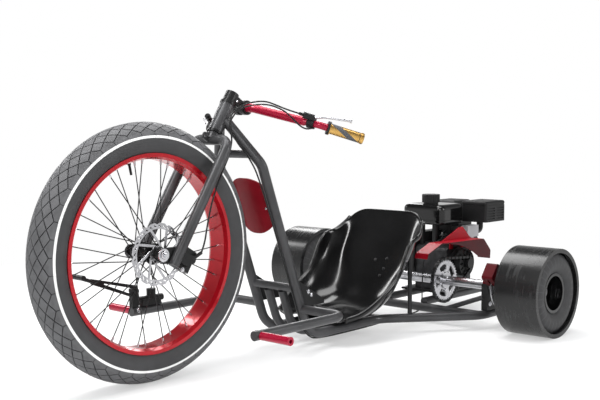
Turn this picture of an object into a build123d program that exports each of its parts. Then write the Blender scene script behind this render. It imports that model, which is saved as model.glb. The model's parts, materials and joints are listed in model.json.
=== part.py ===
from build123d import *
from math import asin, atan2, cos, degrees, pi, radians, sin, sqrt, tan
import os

os.makedirs("parts", exist_ok=True)

# Overall layout: X forward, Y left, Z up, ground at Z 0
FRONT_AXLE_X = 673.0
WHEELBASE = 1290.0
REAR_AXLE_X = FRONT_AXLE_X - WHEELBASE
JOINT_GAP = 0.2
RUNNING_FIT = 0.05

# Front wheel
TYRE_R = 375.0
TYRE_SECTION_R = 52.0
TYRE_WALL = 5.5
TYRE_CENTRE_R = TYRE_R - TYRE_SECTION_R
RIM_HALF = 42.0
RIM_EDGE_R = TYRE_CENTRE_R - 36.0
RIM_WALL = 3.5
RIM_BED_R = RIM_EDGE_R - 17.0
HUB_R = 16.0
HUB_FLANGE_R = 31.0
HUB_FLANGE_Y = 31.0
HUB_FLANGE_T = 3.0
HUB_HALF = 66.0
SPOKE_R = 1.5
SPOKE_COUNT = 18
SPOKE_SEAT_R = 27.0
SPOKE_OFFSET = 3.6
SPOKE_SWING = 48.0
SPOKE_RIM_Y = 12.0
ROTOR_R = 90.0
ROTOR_Y = 51.0
ROTOR_T = 2.0
ROTOR_TRACK = 17.0
AXLE_R = 6.0

# Steering column
HEAD_ANGLE = 58.0
FORK_OFFSET = 42.5
CROWN_STACK = 61.0
HEAD_LENGTH = 95.0
HEAD_R = 23.5
CUP_H = 8.0
STEERER_R = 14.3
LEG_R = 16.0
LEG_Y = 82.0
LEG_BEND = 40.0
CROWN_DROP = 30.0
LEG_TAIL = 12.0
STEM_H = 34.0
STEM_REACH = 58.0
BAR_UP = 123.0
BAR_R = 14.3
BAR_END_R = 11.1
BAR_FLAT = 40.0
GRIP_R = 16.0
GRIP_LENGTH = 112.0

# Frame tubes
TUBE_R = 16.0
STRUT_R = 12.5
TUBE_Y = 97.0
BEND_BEHIND = 101.9
BEND_BELOW = 102.2
FOOT_AHEAD = 114.0
RAIL_Z = 54.0
SPLAY_BEHIND = 250.0
RAIL_REAR_Y = 345.0
CROSS_AHEAD = 55.0
LOWER_CROSS_Z = 217.0
CROSS_R = 13.0
SEAT_CROSS_BEHIND = 265.0
FLOOR_BAR_R = 14.0
FLOOR_BAR_Y = 32.0
PEG_TUBE_R = 14.5
PEG_Z = 147.0
PEG_Y = 280.0
PEG_ARM_FRONT_BACK = 152.0
PEG_R = 12.5
PEG_BORE_R = 6.0
PEG_LENGTH = 112.0
PEG_BACK = 170.0

# Seat: placed by its front edge, which lies ahead of the rear axle
SEAT_REACH = 600.0
SEAT_HALF = 205.0
SEAT_WALL = 5.0
SEAT_LIP = 7.0
SEAT_LIP_DROP = 13.0
SEAT_EDGE_R = 92.0
SEAT_TOP_Z = 431.0
SHOULDER_Z = 346.0

# Rear axle
SLEEVE_R = 157.5
SLEEVE_WALL = 15.0
SLEEVE_OUTER_Y = 625.0
SLEEVE_WIDTH = 165.0
REAR_AXLE_Z = SLEEVE_R
SHAFT_R = 17.5
REAR_TYRE_R = SLEEVE_R - SLEEVE_WALL - 0.3
KART_RIM_R = 70.5
KART_RIM_HALF = 68.0
BRACKET_Y = 349.0
BRACKET_T = 26.0
BRACKET_HALF = 40.0
BRACKET_WALL = 6.0
BEARING_R = 31.0
SPROCKET_Y = 147.0
CHAIN_PITCH = 12.7
SPROCKET_TEETH = 41
DRIVE_TEETH = 12
CHAIN_HALF = 4.6
DISC_R = 80.0
DISC_Y = 400.0
DISC_T = 4.0

# Engine
CRANK_AFT = 165.0
CRANK_Z = 205.0
ENGINE_BASE_Z = 98.4
PLATE_T = 8.0
PTO_Y = 95.0
ENGINE_RAIL_Y = 85.0
ENGINE_RAIL_R = 15.0


def back(distance):
    return FRONT_AXLE_X - distance


def aft(distance):
    return REAR_AXLE_X - distance


# Axis of the steering column, and its own frame: forward, left, up the column
column_up = Vector(-cos(radians(HEAD_ANGLE)), 0, sin(radians(HEAD_ANGLE)))
column_forward = Vector(sin(radians(HEAD_ANGLE)), 0, cos(radians(HEAD_ANGLE)))
front_axle = Vector(FRONT_AXLE_X, 0, TYRE_R)
head_base = front_axle - column_forward * FORK_OFFSET + column_up * (TYRE_R + CROWN_STACK)
STEER = Plane(origin=head_base, x_dir=column_forward, z_dir=column_up)
AXLE_DROP = TYRE_R + CROWN_STACK

# Places that follow from the column and from the rear axle
SEAT_FRONT_X = REAR_AXLE_X + SEAT_REACH
bend_x = head_base.X - BEND_BEHIND
bend_z = head_base.Z - BEND_BELOW
foot_x = SEAT_FRONT_X + FOOT_AHEAD
tube_slope = (bend_x - foot_x) / (bend_z - RAIL_Z)
cross_x = REAR_AXLE_X + CROSS_AHEAD


def steer_at(forward, left, up):
    return head_base + column_forward * forward + Vector(0, left, 0) + column_up * up


def tube_x(z):
    return bend_x - tube_slope * (bend_z - z)


def seat_x(distance):
    return SEAT_FRONT_X - distance


def swept(points, bends, radius):
    with BuildPart() as tube:
        with BuildLine() as route:
            if len(points) == 2:
                Line(points[0], points[1])
            else:
                FilletPolyline(*points, radius=bends)
        with BuildSketch(Plane(origin=route.line @ 0, z_dir=route.line % 0)):
            Circle(radius)
        sweep(path=route.line)
    return tube.part


def rod(start, end, radius, bore=0.0):
    run = Vector(end) - Vector(start)
    with BuildPart() as bar:
        with BuildSketch(Plane(origin=start, z_dir=run)):
            Circle(radius)
            if bore:
                Circle(bore, mode=Mode.SUBTRACT)
        extrude(amount=run.length)
    return bar.part


def block(x0, x1, y0, y1, z0, z1):
    with BuildPart() as box:
        with BuildSketch(Plane.XY.offset(z0)):
            with Locations(((x0 + x1) / 2, (y0 + y1) / 2)):
                Rectangle(abs(x1 - x0), abs(y1 - y0))
        extrude(amount=z1 - z0)
    return box.part


def side_plate(points, y0, y1):
    with BuildPart() as plate:
        with BuildSketch(Plane.XZ.offset(-y0)):
            with BuildLine():
                Polyline(*points, close=True)
            make_face()
        extrude(amount=-(y1 - y0))
    return plate.part


def spun(points, centre):
    with BuildPart() as ring:
        with BuildSketch(Plane(origin=centre, x_dir=(0, 1, 0), z_dir=(-1, 0, 0))):
            with BuildLine():
                Polyline(*points, close=True)
            make_face()
        revolve(axis=Axis(centre, (0, 1, 0)))
    return ring.part


def save(solid, name):
    solid.label = name
    export_step(solid, "parts/" + name + ".step")


# Main tubes: from the head tube out, down and back under the seat to the bearing brackets
def main_route(side):
    start = steer_at(-8, side * 13, 44)
    return [
        start,
        (bend_x, side * TUBE_Y, bend_z),
        (foot_x, side * TUBE_Y, RAIL_Z),
        (seat_x(SPLAY_BEHIND), side * TUBE_Y, RAIL_Z),
        (aft(-55), side * RAIL_REAR_Y, RAIL_Z),
        (aft(110), side * RAIL_REAR_Y, RAIL_Z),
    ]


FOOT_BEND = 90.0
MAIN_BENDS = [60, FOOT_BEND, 120, 100]
head_keep = rod(steer_at(0, 0, -20), steer_at(0, 0, 130), HEAD_R + JOINT_GAP)
main_keep = [swept(main_route(side), MAIN_BENDS, TUBE_R + JOINT_GAP) for side in (1, -1)]

for side, name in ((1, "left_main_tube"), (-1, "right_main_tube")):
    with BuildPart() as main_tube:
        add(swept(main_route(side), MAIN_BENDS, TUBE_R))
        add(head_keep, mode=Mode.SUBTRACT)
        with BuildSketch(Plane.XZ):
            with Locations((head_base.X - 50, head_base.Z - 20)):
                Rectangle(400, 300)
        extrude(amount=-side * 0.2, both=True, mode=Mode.SUBTRACT)
    save(main_tube.part, name)

with BuildPart() as head_tube:
    with BuildSketch(STEER):
        Circle(HEAD_R)
        Circle(STEERER_R + RUNNING_FIT, mode=Mode.SUBTRACT)
    extrude(amount=HEAD_LENGTH)
save(head_tube.part, "head_tube")

with BuildPart() as headset_cups:
    with BuildSketch(STEER, STEER.offset(HEAD_LENGTH + CUP_H)):
        Circle(HEAD_R + 1.5)
        Circle(STEERER_R + RUNNING_FIT, mode=Mode.SUBTRACT)
    extrude(amount=-CUP_H)
save(headset_cups.part, "headset_cups")

# Cross tubes: place, height, half length, radius
cross_rows = [
    {"x": bend_x + 16.0, "z": bend_z + 32.0, "half": TUBE_Y - 19.0, "radius": STRUT_R},
    {"x": tube_x(LOWER_CROSS_Z), "z": LOWER_CROSS_Z, "half": TUBE_Y, "radius": CROSS_R},
    {"x": seat_x(SEAT_CROSS_BEHIND), "z": RAIL_Z, "half": TUBE_Y + 15.0, "radius": CROSS_R},
    {"x": cross_x, "z": RAIL_Z, "half": RAIL_REAR_Y, "radius": TUBE_R},
]
rear_cross_keep = rod((cross_x, -RAIL_REAR_Y, RAIL_Z), (cross_x, RAIL_REAR_Y, RAIL_Z), TUBE_R + JOINT_GAP)
with BuildPart() as cross_tubes:
    for row in cross_rows:
        x = row["x"]
        add(rod((x, -row["half"], row["z"]), (x, row["half"], row["z"]), row["radius"]))
    for keep in main_keep:
        add(keep, mode=Mode.SUBTRACT)
with BuildPart() as cross_tubes_kept:
    for solid in cross_tubes.part.solids():
        if abs(solid.center().Y) < 1:
            add(solid)
save(cross_tubes_kept.part, "cross_tubes")

# Two floor bars from the lower cross tube to the cross tube under the seat
slope_angle = atan2(tube_slope, 1)
bar_top_x = tube_x(LOWER_CROSS_Z) - (CROSS_R + 0.5) * sin(slope_angle)
bar_top_z = LOWER_CROSS_Z - (CROSS_R + 0.5) * cos(slope_angle)
with BuildPart() as floor_bars:
    for side in (1, -1):
        route = [
            (bar_top_x, side * FLOOR_BAR_Y, bar_top_z),
            (bar_top_x - tube_slope * (bar_top_z - RAIL_Z), side * FLOOR_BAR_Y, RAIL_Z),
            (seat_x(SEAT_CROSS_BEHIND - CROSS_R - JOINT_GAP), side * FLOOR_BAR_Y, RAIL_Z),
        ]
        add(swept(route, [90], FLOOR_BAR_R))
save(floor_bars.part, "floor_bars")

# Gusset plates behind the foot of the main tubes
edge = TUBE_R / cos(slope_angle) + JOINT_GAP
gusset_end = SEAT_FRONT_X + FOOT_AHEAD / 3
with BuildPart() as gussets:
    for side in (1, -1):
        points = [
            (tube_x(245) - edge, 245),
            (gusset_end, 166),
            (gusset_end, 152),
            (tube_x(152) - edge, 152),
        ]
        add(side_plate(points, side * TUBE_Y - 2.5, side * TUBE_Y + 2.5))
save(gussets.part, "gussets")

# Peg arms: out from the main tubes, then forward beside the front wheel
for side, name in ((1, "left_peg_arm"), (-1, "right_peg_arm")):
    arm_x = tube_x(PEG_Z)
    with BuildPart() as peg_arm:
        route = [
            (arm_x, side * TUBE_Y, PEG_Z),
            (arm_x, side * PEG_Y, PEG_Z),
            (back(PEG_ARM_FRONT_BACK), side * PEG_Y, PEG_Z),
        ]
        add(swept(route, [42], PEG_TUBE_R))
        add(main_keep[0 if side > 0 else 1], mode=Mode.SUBTRACT)
    with BuildPart() as peg_arm_kept:
        add(peg_arm.part.solids().sort_by(SortBy.VOLUME)[-1])
    save(peg_arm_kept.part, name)

with BuildPart() as foot_pegs:
    for side in (1, -1):
        inner = side * (PEG_Y + PEG_TUBE_R + JOINT_GAP)
        outer = side * (PEG_Y + PEG_TUBE_R + PEG_LENGTH)
        with BuildSketch(Plane(origin=(back(PEG_BACK), inner, PEG_Z), z_dir=(0, side, 0))):
            Circle(PEG_R)
        extrude(amount=abs(outer - inner))
        with BuildSketch(Plane(origin=(back(PEG_BACK), outer, PEG_Z), z_dir=(0, side, 0))):
            Circle(PEG_BORE_R)
        extrude(amount=-40, mode=Mode.SUBTRACT)
save(foot_pegs.part, "foot_pegs")

# Red panel between the main tubes, bowed forward, with an oval outline
PANEL_BELOW = 132.0
PANEL_HEIGHT = 190.0
PANEL_SET_BACK = 12.0
PANEL_RISE = 20.0
PANEL_T = 4.0
panel_z = bend_z - PANEL_BELOW
panel_half = TUBE_Y - sqrt(TUBE_R ** 2 - PANEL_SET_BACK ** 2) - 0.4
panel_down = Vector(-sin(slope_angle), 0, -cos(slope_angle))
panel_normal = Vector(cos(slope_angle), 0, -sin(slope_angle))
panel_mid = Vector(tube_x(panel_z), 0, panel_z)
PANEL_SECTION = Plane(
    origin=panel_mid - panel_down * (PANEL_HEIGHT / 2), x_dir=(0, 1, 0), z_dir=panel_down
)
bow = PANEL_SECTION.y_dir.dot(panel_normal)
with BuildPart() as front_panel:
    with BuildSketch(PANEL_SECTION):
        with BuildLine():
            rim = -bow * PANEL_SET_BACK
            back_rim = rim - bow * PANEL_T
            crown = rim + bow * PANEL_RISE
            ThreePointArc((-panel_half, rim), (0, crown), (panel_half, rim))
            Line((panel_half, rim), (panel_half, back_rim))
            ThreePointArc((panel_half, back_rim), (0, crown - bow * PANEL_T), (-panel_half, back_rim))
            Line((-panel_half, back_rim), (-panel_half, rim))
        make_face()
    extrude(amount=PANEL_HEIGHT)
    with BuildSketch(Plane(origin=panel_mid, x_dir=(0, 1, 0), z_dir=panel_normal)):
        RectangleRounded(2 * panel_half + 4, PANEL_HEIGHT, panel_half - 6)
    extrude(amount=60, both=True, mode=Mode.INTERSECT)
save(front_panel.part, "front_panel")

# Bucket seat: tub with rounded corners, cut to its rim line, with a rolled lip and a hump between the legs
SEAT_FLOOR_Z = RAIL_Z + TUBE_R + 0.3
SEAT_BACK_FOOT = 262.0
SEAT_BACK_LEAN = 0.51
SEAT_FRONT_RISE = 13.0
SEAT_TALL = SEAT_TOP_Z + 50.0
HUMP_HALF = 92.0
HUMP_HEIGHT = 62.0
HUMP_LENGTH = 190.0
HUMP_END = 4.0


def seat_solid(grow):
    front = seat_x(-10.0 if grow < 0 else 0.0)
    lean_top = SEAT_BACK_FOOT + SEAT_BACK_LEAN * (SEAT_TALL - SEAT_FLOOR_Z)
    with BuildPart() as shape:
        with BuildSketch(Plane.XZ):
            with BuildLine():
                run = FilletPolyline(
                    (front, SEAT_FLOOR_Z + SEAT_FRONT_RISE - grow),
                    (seat_x(40), SEAT_FLOOR_Z - grow),
                    (seat_x(SEAT_BACK_FOOT) - 0.6 * grow, SEAT_FLOOR_Z - grow),
                    (seat_x(lean_top) - 1.1 * grow, SEAT_TALL),
                    radius=[60, SEAT_EDGE_R + 13 + grow],
                )
                Polyline(run @ 1, (front, SEAT_TALL), run @ 0)
            make_face()
        extrude(amount=SEAT_HALF + grow, both=True)
        rim = shape.edges().filter_by(lambda e: abs(abs(e.center().Y) - SEAT_HALF - grow) < 0.01)
        low = rim.filter_by(lambda e: e.center().Z < SEAT_TALL - 1 and abs(e.center().X - front) > 1)
        fillet(low, radius=SEAT_EDGE_R + grow)
    return shape.part


def seat_cut(shift, drop):
    with BuildPart() as cut:
        with BuildSketch(Plane.XZ):
            with BuildLine():
                shoulder = FilletPolyline(
                    (seat_x(374 + shift), SEAT_TALL),
                    (seat_x(374 + shift), SHOULDER_Z - drop),
                    (seat_x(296 + shift), SHOULDER_Z - 10 - drop),
                    (seat_x(240 + shift), 222 - drop),
                    radius=[12, 34],
                )
                sweep_down = ThreePointArc(
                    shoulder @ 1,
                    (seat_x(115 + shift), 130 - drop),
                    (seat_x(-20 + shift), 94 - drop),
                )
                Polyline(
                    sweep_down @ 1,
                    (seat_x(-20 + shift), 0),
                    (seat_x(700), 0),
                    (seat_x(700), SEAT_TALL),
                    shoulder @ 0,
                )
            make_face()
        extrude(amount=SEAT_HALF + 60, both=True)
        with BuildSketch(Plane.YZ.offset(seat_x(620))):
            with BuildLine():
                wide = SEAT_HALF + 55
                arch_z = SEAT_TOP_Z - drop
                side_z = SHOULDER_Z - drop
                arch_half = SEAT_HALF - 40
                FilletPolyline(
                    (-wide, 0),
                    (-wide, side_z),
                    (-SEAT_HALF, side_z),
                    (-arch_half, arch_z),
                    (arch_half, arch_z),
                    (SEAT_HALF, side_z),
                    (wide, side_z),
                    (wide, 0),
                    radius=[1, 1, 14, 60, 60, 14, 1, 1],
                    close=True,
                )
            make_face()
        extrude(amount=700, mode=Mode.INTERSECT)
    return cut.part


def hump(inset, low):
    rows = ((0.0, HUMP_HALF, HUMP_HEIGHT, 24.0), (HUMP_LENGTH, HUMP_HALF / 3, HUMP_END, 2.0))
    with BuildPart() as wedge:
        for distance, half, height, corner in rows:
            top = SEAT_FLOOR_Z + height + SEAT_WALL - inset
            foot = half + 0.45 * height - inset
            with BuildSketch(Plane.YZ.offset(seat_x(distance))):
                with BuildLine():
                    FilletPolyline(
                        (-foot, low),
                        (foot, low),
                        (half - inset, top),
                        (inset - half, top),
                        radius=[0.5, 0.5, corner, corner],
                        close=True,
                    )
                make_face()
        loft()
    return wedge.part


seat_outer = seat_solid(0.0)
with BuildPart() as ridge:
    add(hump(0.0, SEAT_FLOOR_Z))
    add(seat_outer, mode=Mode.INTERSECT)
with BuildPart() as seat:
    add(seat_solid(SEAT_LIP))
    add(seat_cut(SEAT_LIP_DROP, SEAT_LIP_DROP), mode=Mode.SUBTRACT)
    add(seat_outer)
    add(seat_solid(-SEAT_WALL), mode=Mode.SUBTRACT)
    add(seat_cut(0.0, 0.0), mode=Mode.INTERSECT)
    add(ridge.part)
    add(hump(SEAT_WALL, SEAT_FLOOR_Z - 20.0), mode=Mode.SUBTRACT)
save(seat.part, "seat")

# Seat stays: struts that stand on the splayed rails under the back of the seat
STAY_R = 8.0
STAY_BEHIND = 341.0


def rail_y(x):
    start = seat_x(SPLAY_BEHIND)
    return TUBE_Y + (RAIL_REAR_Y - TUBE_Y) * (start - x) / (start - cross_x)


stay_x = seat_x(STAY_BEHIND)
with BuildPart() as seat_stays:
    for side in (1, -1):
        stay_y = side * rail_y(stay_x)
        add(rod((stay_x, stay_y, RAIL_Z), (stay_x, stay_y, SHOULDER_Z), STAY_R))
    add(seat_solid(0.4), mode=Mode.SUBTRACT)
    for keep in main_keep:
        add(keep, mode=Mode.SUBTRACT)
with BuildPart() as seat_stays_kept:
    for solid in seat_stays.part.solids():
        if solid.bounding_box().min.Z > RAIL_Z:
            add(solid)
save(seat_stays_kept.part, "seat_stays")

# Fork: steerer, crown with a mounting tab, and two bent legs
STEM_BASE = HEAD_LENGTH + CUP_H + 0.6
STEM_TOP = STEM_BASE + STEM_H
with BuildPart() as fork:
    add(rod(steer_at(0, 0, -CROWN_DROP), steer_at(0, 0, STEM_TOP), STEERER_R))
    add(rod(steer_at(0, 0, -CROWN_DROP), steer_at(0, 0, -CUP_H - 0.3), 20.0))
    with BuildSketch(Plane(origin=head_base, x_dir=column_forward, z_dir=(0, -1, 0))):
        with BuildLine():
            FilletPolyline((10, -12), (38, -24), (38, -44), (10, -44), radius=[2, 7, 7, 2], close=True)
        make_face()
        with Locations((29, -34)):
            Circle(4.5, mode=Mode.SUBTRACT)
    extrude(amount=3, both=True)
    for side in (1, -1):
        route = [
            steer_at(0, 0, -CROWN_DROP),
            steer_at(0, side * LEG_Y, -CROWN_DROP),
            steer_at(0, side * LEG_Y, -AXLE_DROP - LEG_TAIL),
        ]
        add(swept(route, [LEG_BEND], LEG_R))
save(fork.part, "fork")

leg_keep = {}
for side in (1, -1):
    leg_high = steer_at(0, side * LEG_Y, 136 - AXLE_DROP)
    leg_keep[side] = rod(leg_high, steer_at(0, side * LEG_Y, -84 - AXLE_DROP), LEG_R + JOINT_GAP)

with BuildPart() as dropouts:
    for side in (1, -1):
        face = Plane(origin=steer_at(0, side * (LEG_Y - 13), 0), x_dir=column_forward, z_dir=(0, side, 0))
        flip = face.y_dir.dot(column_up)
        with BuildSketch(face):
            with BuildLine():
                FilletPolyline(
                    (-4, -flip * (AXLE_DROP - 52)),
                    (FORK_OFFSET + 18, -flip * (AXLE_DROP - 12)),
                    (FORK_OFFSET + 18, -flip * (AXLE_DROP + 13)),
                    (-4, -flip * (AXLE_DROP + 16)),
                    radius=[2, 9, 9, 2],
                    close=True,
                )
            make_face()
        extrude(amount=8)
        with BuildSketch(face):
            with Locations((FORK_OFFSET, -flip * AXLE_DROP)):
                Circle(AXLE_R + 0.1)
        extrude(amount=8, mode=Mode.SUBTRACT)
    for side in (1, -1):
        add(leg_keep[side], mode=Mode.SUBTRACT)
with BuildPart() as dropouts_kept:
    for solid in dropouts.part.solids():
        if solid.volume > 2000:
            add(solid)
save(dropouts_kept.part, "dropouts")

AXLE_HALF = LEG_Y - 5.0
with BuildPart() as front_spindle:
    add(rod(front_axle + Vector(0, -AXLE_HALF - 14, 0), front_axle + Vector(0, AXLE_HALF + 14, 0), AXLE_R))
    for side in (1, -1):
        washer_face = front_axle + Vector(0, side * (AXLE_HALF + 0.2), 0)
        with BuildSketch(Plane(origin=washer_face, z_dir=(0, side, 0))):
            RegularPolygon(10.5, 6)
        extrude(amount=9)
save(front_spindle.part, "front_spindle")

# Stem: steerer clamp, tapered body and two clamp bands round the handlebar
bar_mid = steer_at(-STEM_REACH, 0, BAR_UP)
CLAMP_HALF = 24.0
with BuildPart() as stem:
    add(rod(steer_at(0, 0, STEM_BASE), steer_at(0, 0, STEM_TOP), 21.0))
    for distance, wide, tall in ((0.0, 40.0, STEM_H - 2.0), (STEM_REACH, 34.0, 26.0)):
        level = STEM_BASE + STEM_H / 2 + (BAR_UP - STEM_BASE - STEM_H / 2) * distance / STEM_REACH
        with BuildSketch(Plane(origin=steer_at(-distance, 0, level), x_dir=(0, 1, 0), z_dir=-column_forward)):
            RectangleRounded(wide, tall, 10)
    loft()
    add(rod(bar_mid - Vector(0, CLAMP_HALF, 0), bar_mid + Vector(0, CLAMP_HALF, 0), BAR_R + 5.0))
    for offset_y in (-15.0, 15.0):
        add(rod(bar_mid + Vector(0, offset_y - 7, 0), bar_mid + Vector(0, offset_y + 7, 0), BAR_R + 8.5))
    add(rod(steer_at(0, 0, 60), steer_at(0, 0, STEM_TOP + 40), STEERER_R + 0.1), mode=Mode.SUBTRACT)
    add(rod(bar_mid - Vector(0, 60, 0), bar_mid + Vector(0, 60, 0), BAR_R + 0.1), mode=Mode.SUBTRACT)
save(stem.part, "stem")

# Handlebar: thick in the middle, tapered to the ends, swept back to the grips
bar_corner = Vector(-85, 244, -54)
bar_end = Vector(-189, 330, -96)
BAR_TAPER = (0.79, 0.83)
CLAMP_SHARE = 0.895


def sided(offset, side):
    return bar_mid + Vector(offset.X, side * offset.Y, offset.Z)


def bar_at(side, share):
    start = bar_mid + Vector(0, side * BAR_FLAT, 0)
    return start + (sided(bar_corner, side) - start) * share


bar_route = [
    sided(bar_end, -1),
    sided(bar_corner, -1),
    bar_mid - Vector(0, BAR_FLAT, 0),
    bar_mid + Vector(0, BAR_FLAT, 0),
    sided(bar_corner, 1),
    sided(bar_end, 1),
]
thick_route = [bar_at(-1, BAR_TAPER[0]), bar_route[2], bar_route[3], bar_at(1, BAR_TAPER[0])]
with BuildPart() as handlebar:
    add(swept(bar_route, [45, 60, 60, 45], BAR_END_R))
    add(swept(thick_route, [60, 60], BAR_R))
    for side in (1, -1):
        wide_end = bar_at(side, BAR_TAPER[0])
        slim_end = bar_at(side, BAR_TAPER[1])
        with BuildSketch(Plane(origin=wide_end, z_dir=slim_end - wide_end)):
            Circle(BAR_R)
        with BuildSketch(Plane(origin=slim_end, z_dir=slim_end - wide_end)):
            Circle(BAR_END_R + 0.05)
        loft()
save(handlebar.part, "handlebar")

with BuildPart() as grips:
    for side in (1, -1):
        end = sided(bar_end, side)
        run = (end - sided(bar_corner, side)).normalized()
        start = end - run * (GRIP_LENGTH - 3)
        add(rod(start, end + run * 3, GRIP_R))
        add(rod(start + run * 4, start - run * 5, GRIP_R + 5))
        add(rod(end - run * 6, end + run * 1, GRIP_R + 1.5))
        add(rod(start - run * 20, end + run * 0.2, BAR_END_R + 0.1), mode=Mode.SUBTRACT)
save(grips.part, "grips")


# Lever perches: a clamp on the bar, an arm ahead of it and a body that holds the lever
def lever_frame(side):
    clamp = bar_at(side, CLAMP_SHARE)
    along = (sided(bar_corner, side) - clamp).normalized()
    outward = (sided(bar_end, side) - sided(bar_corner, side)).normalized()
    ahead = Vector(0.92, side * 0.39, 0.0)
    return clamp, along, outward, clamp + ahead * 16 + Vector(0, 0, 19)


with BuildPart() as lever_perches:
    for side in (1, -1):
        clamp, along, outward, pivot = lever_frame(side)
        add(rod(clamp - along * 11, clamp + along * 11, BAR_END_R + 6))
        add(rod(clamp + Vector(4, 0, 6), pivot, 8.5))
        add(rod(pivot - outward * 20, pivot + outward * 16, 10.0))
        add(rod(pivot - outward * 34, pivot - outward * 18, 5.0))
        add(rod(clamp - along * 30, clamp + along * 30, BAR_END_R + 0.1), mode=Mode.SUBTRACT)
save(lever_perches.part, "lever_perches")

lever_tip = Vector(-134, 328, -42)
with BuildPart() as brake_levers:
    for side in (1, -1):
        clamp, along, outward, pivot = lever_frame(side)
        tip = sided(lever_tip, side)
        knee = pivot + (tip - pivot) * 0.4 + Vector(9, side * 6, 4)
        add(swept([pivot + outward * 8, knee, tip], [60], 4.5))
        with BuildSketch(Plane(origin=tip, z_dir=tip - knee)):
            Circle(6.5)
        extrude(amount=6)
    add(lever_perches.part, mode=Mode.SUBTRACT)
with BuildPart() as brake_levers_kept:
    for solid in brake_levers.part.solids():
        if solid.volume > 2000:
            add(solid)
save(brake_levers_kept.part, "brake_levers")

# Front caliper behind the left leg, astride the rotor, with its cable arm
CALIPER_BACK = 46.0
CALIPER_LOW = -4.0
with BuildPart() as front_caliper:
    with BuildSketch(STEER.offset(CALIPER_LOW - AXLE_DROP)):
        with Locations((-CALIPER_BACK, ROTOR_Y + 2)):
            RectangleRounded(56, 32, 7)
    extrude(amount=66)
    with BuildSketch(STEER.offset(8 - AXLE_DROP)):
        with Locations((-33, ROTOR_Y + 21)):
            Rectangle(33, 26)
    extrude(amount=34)
    with BuildSketch(STEER.offset(-60 - AXLE_DROP)):
        with Locations((-33, ROTOR_Y)):
            Rectangle(42, ROTOR_T + 3)
    extrude(amount=160, mode=Mode.SUBTRACT)
    cam = steer_at(-CALIPER_BACK - 10, ROTOR_Y + 14, 34 - AXLE_DROP)
    add(rod(cam, cam + Vector(0, 16, 0), 13.0))
    cam_end = cam + column_forward * -22 + column_up * 34 + Vector(0, 12, 0)
    add(rod(cam + Vector(0, 12, 0), cam_end, 5.0))
    add(leg_keep[1], mode=Mode.SUBTRACT)
save(front_caliper.part, "front_caliper")

# Front wheel: tyre, rim, hub, spokes and rotor
with BuildPart() as front_tyre:
    with BuildSketch(Plane(origin=front_axle, x_dir=(0, 1, 0), z_dir=(-1, 0, 0))):
        with Locations((0, TYRE_CENTRE_R)):
            Circle(TYRE_SECTION_R)
            Circle(TYRE_SECTION_R - TYRE_WALL, mode=Mode.SUBTRACT)
        with Locations((0, TYRE_CENTRE_R - 43 - 20)):
            Rectangle(140, 40, mode=Mode.SUBTRACT)
    revolve(axis=Axis(front_axle, (0, 1, 0)))
save(front_tyre.part, "front_tyre")

rim_half = [
    (RIM_HALF, RIM_EDGE_R),
    (RIM_HALF, RIM_BED_R + 6),
    (RIM_HALF - 12, RIM_BED_R),
]
rim_inside = [
    (RIM_HALF - 13, RIM_BED_R + RIM_WALL),
    (RIM_HALF - 3.8, RIM_BED_R + 8.5),
    (RIM_HALF - 3.8, RIM_EDGE_R),
]
rim_points = rim_half + [(-y, r) for y, r in reversed(rim_half)]
rim_points += [(-y, r) for y, r in reversed(rim_inside)] + rim_inside
save(spun(rim_points, front_axle), "front_rim")

hub_points = [
    (-HUB_HALF, AXLE_R + RUNNING_FIT),
    (-HUB_HALF, 11),
    (-HUB_FLANGE_Y - 10, 11),
    (-HUB_FLANGE_Y - 6, HUB_R),
    (-HUB_FLANGE_Y - HUB_FLANGE_T / 2, HUB_R + 2),
    (-HUB_FLANGE_Y - HUB_FLANGE_T / 2, HUB_FLANGE_R),
    (-HUB_FLANGE_Y + HUB_FLANGE_T / 2, HUB_FLANGE_R),
    (-HUB_FLANGE_Y + HUB_FLANGE_T / 2, HUB_R),
    (HUB_FLANGE_Y - HUB_FLANGE_T / 2, HUB_R),
    (HUB_FLANGE_Y - HUB_FLANGE_T / 2, HUB_FLANGE_R),
    (HUB_FLANGE_Y + HUB_FLANGE_T / 2, HUB_FLANGE_R),
    (HUB_FLANGE_Y + HUB_FLANGE_T / 2, HUB_R + 4),
    (ROTOR_Y - ROTOR_T / 2 - 4, HUB_R + 4),
    (ROTOR_Y - ROTOR_T / 2 - 4, 25),
    (ROTOR_Y - ROTOR_T / 2 - 0.05, 25),
    (ROTOR_Y - ROTOR_T / 2 - 0.05, HUB_R),
    (HUB_HALF, 11),
    (HUB_HALF, AXLE_R + RUNNING_FIT),
]
save(spun(hub_points, front_axle), "front_hub")

with BuildPart() as front_spokes:
    for side in (1, -1):
        for index in range(SPOKE_COUNT):
            outward = 1 if index % 2 else -1
            rim_angle = radians(360.0 / SPOKE_COUNT * (index + (0.5 if side < 0 else 0.0)))
            hub_angle = rim_angle + outward * radians(SPOKE_SWING)
            foot_y = side * (HUB_FLANGE_Y + outward * SPOKE_OFFSET)
            foot = front_axle + Vector(SPOKE_SEAT_R * cos(hub_angle), foot_y, SPOKE_SEAT_R * sin(hub_angle))
            reach = RIM_BED_R - 0.5
            tip = front_axle + Vector(reach * cos(rim_angle), side * SPOKE_RIM_Y, reach * sin(rim_angle))
            add(rod(foot, tip, SPOKE_R))
save(front_spokes.part, "front_spokes")

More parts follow.
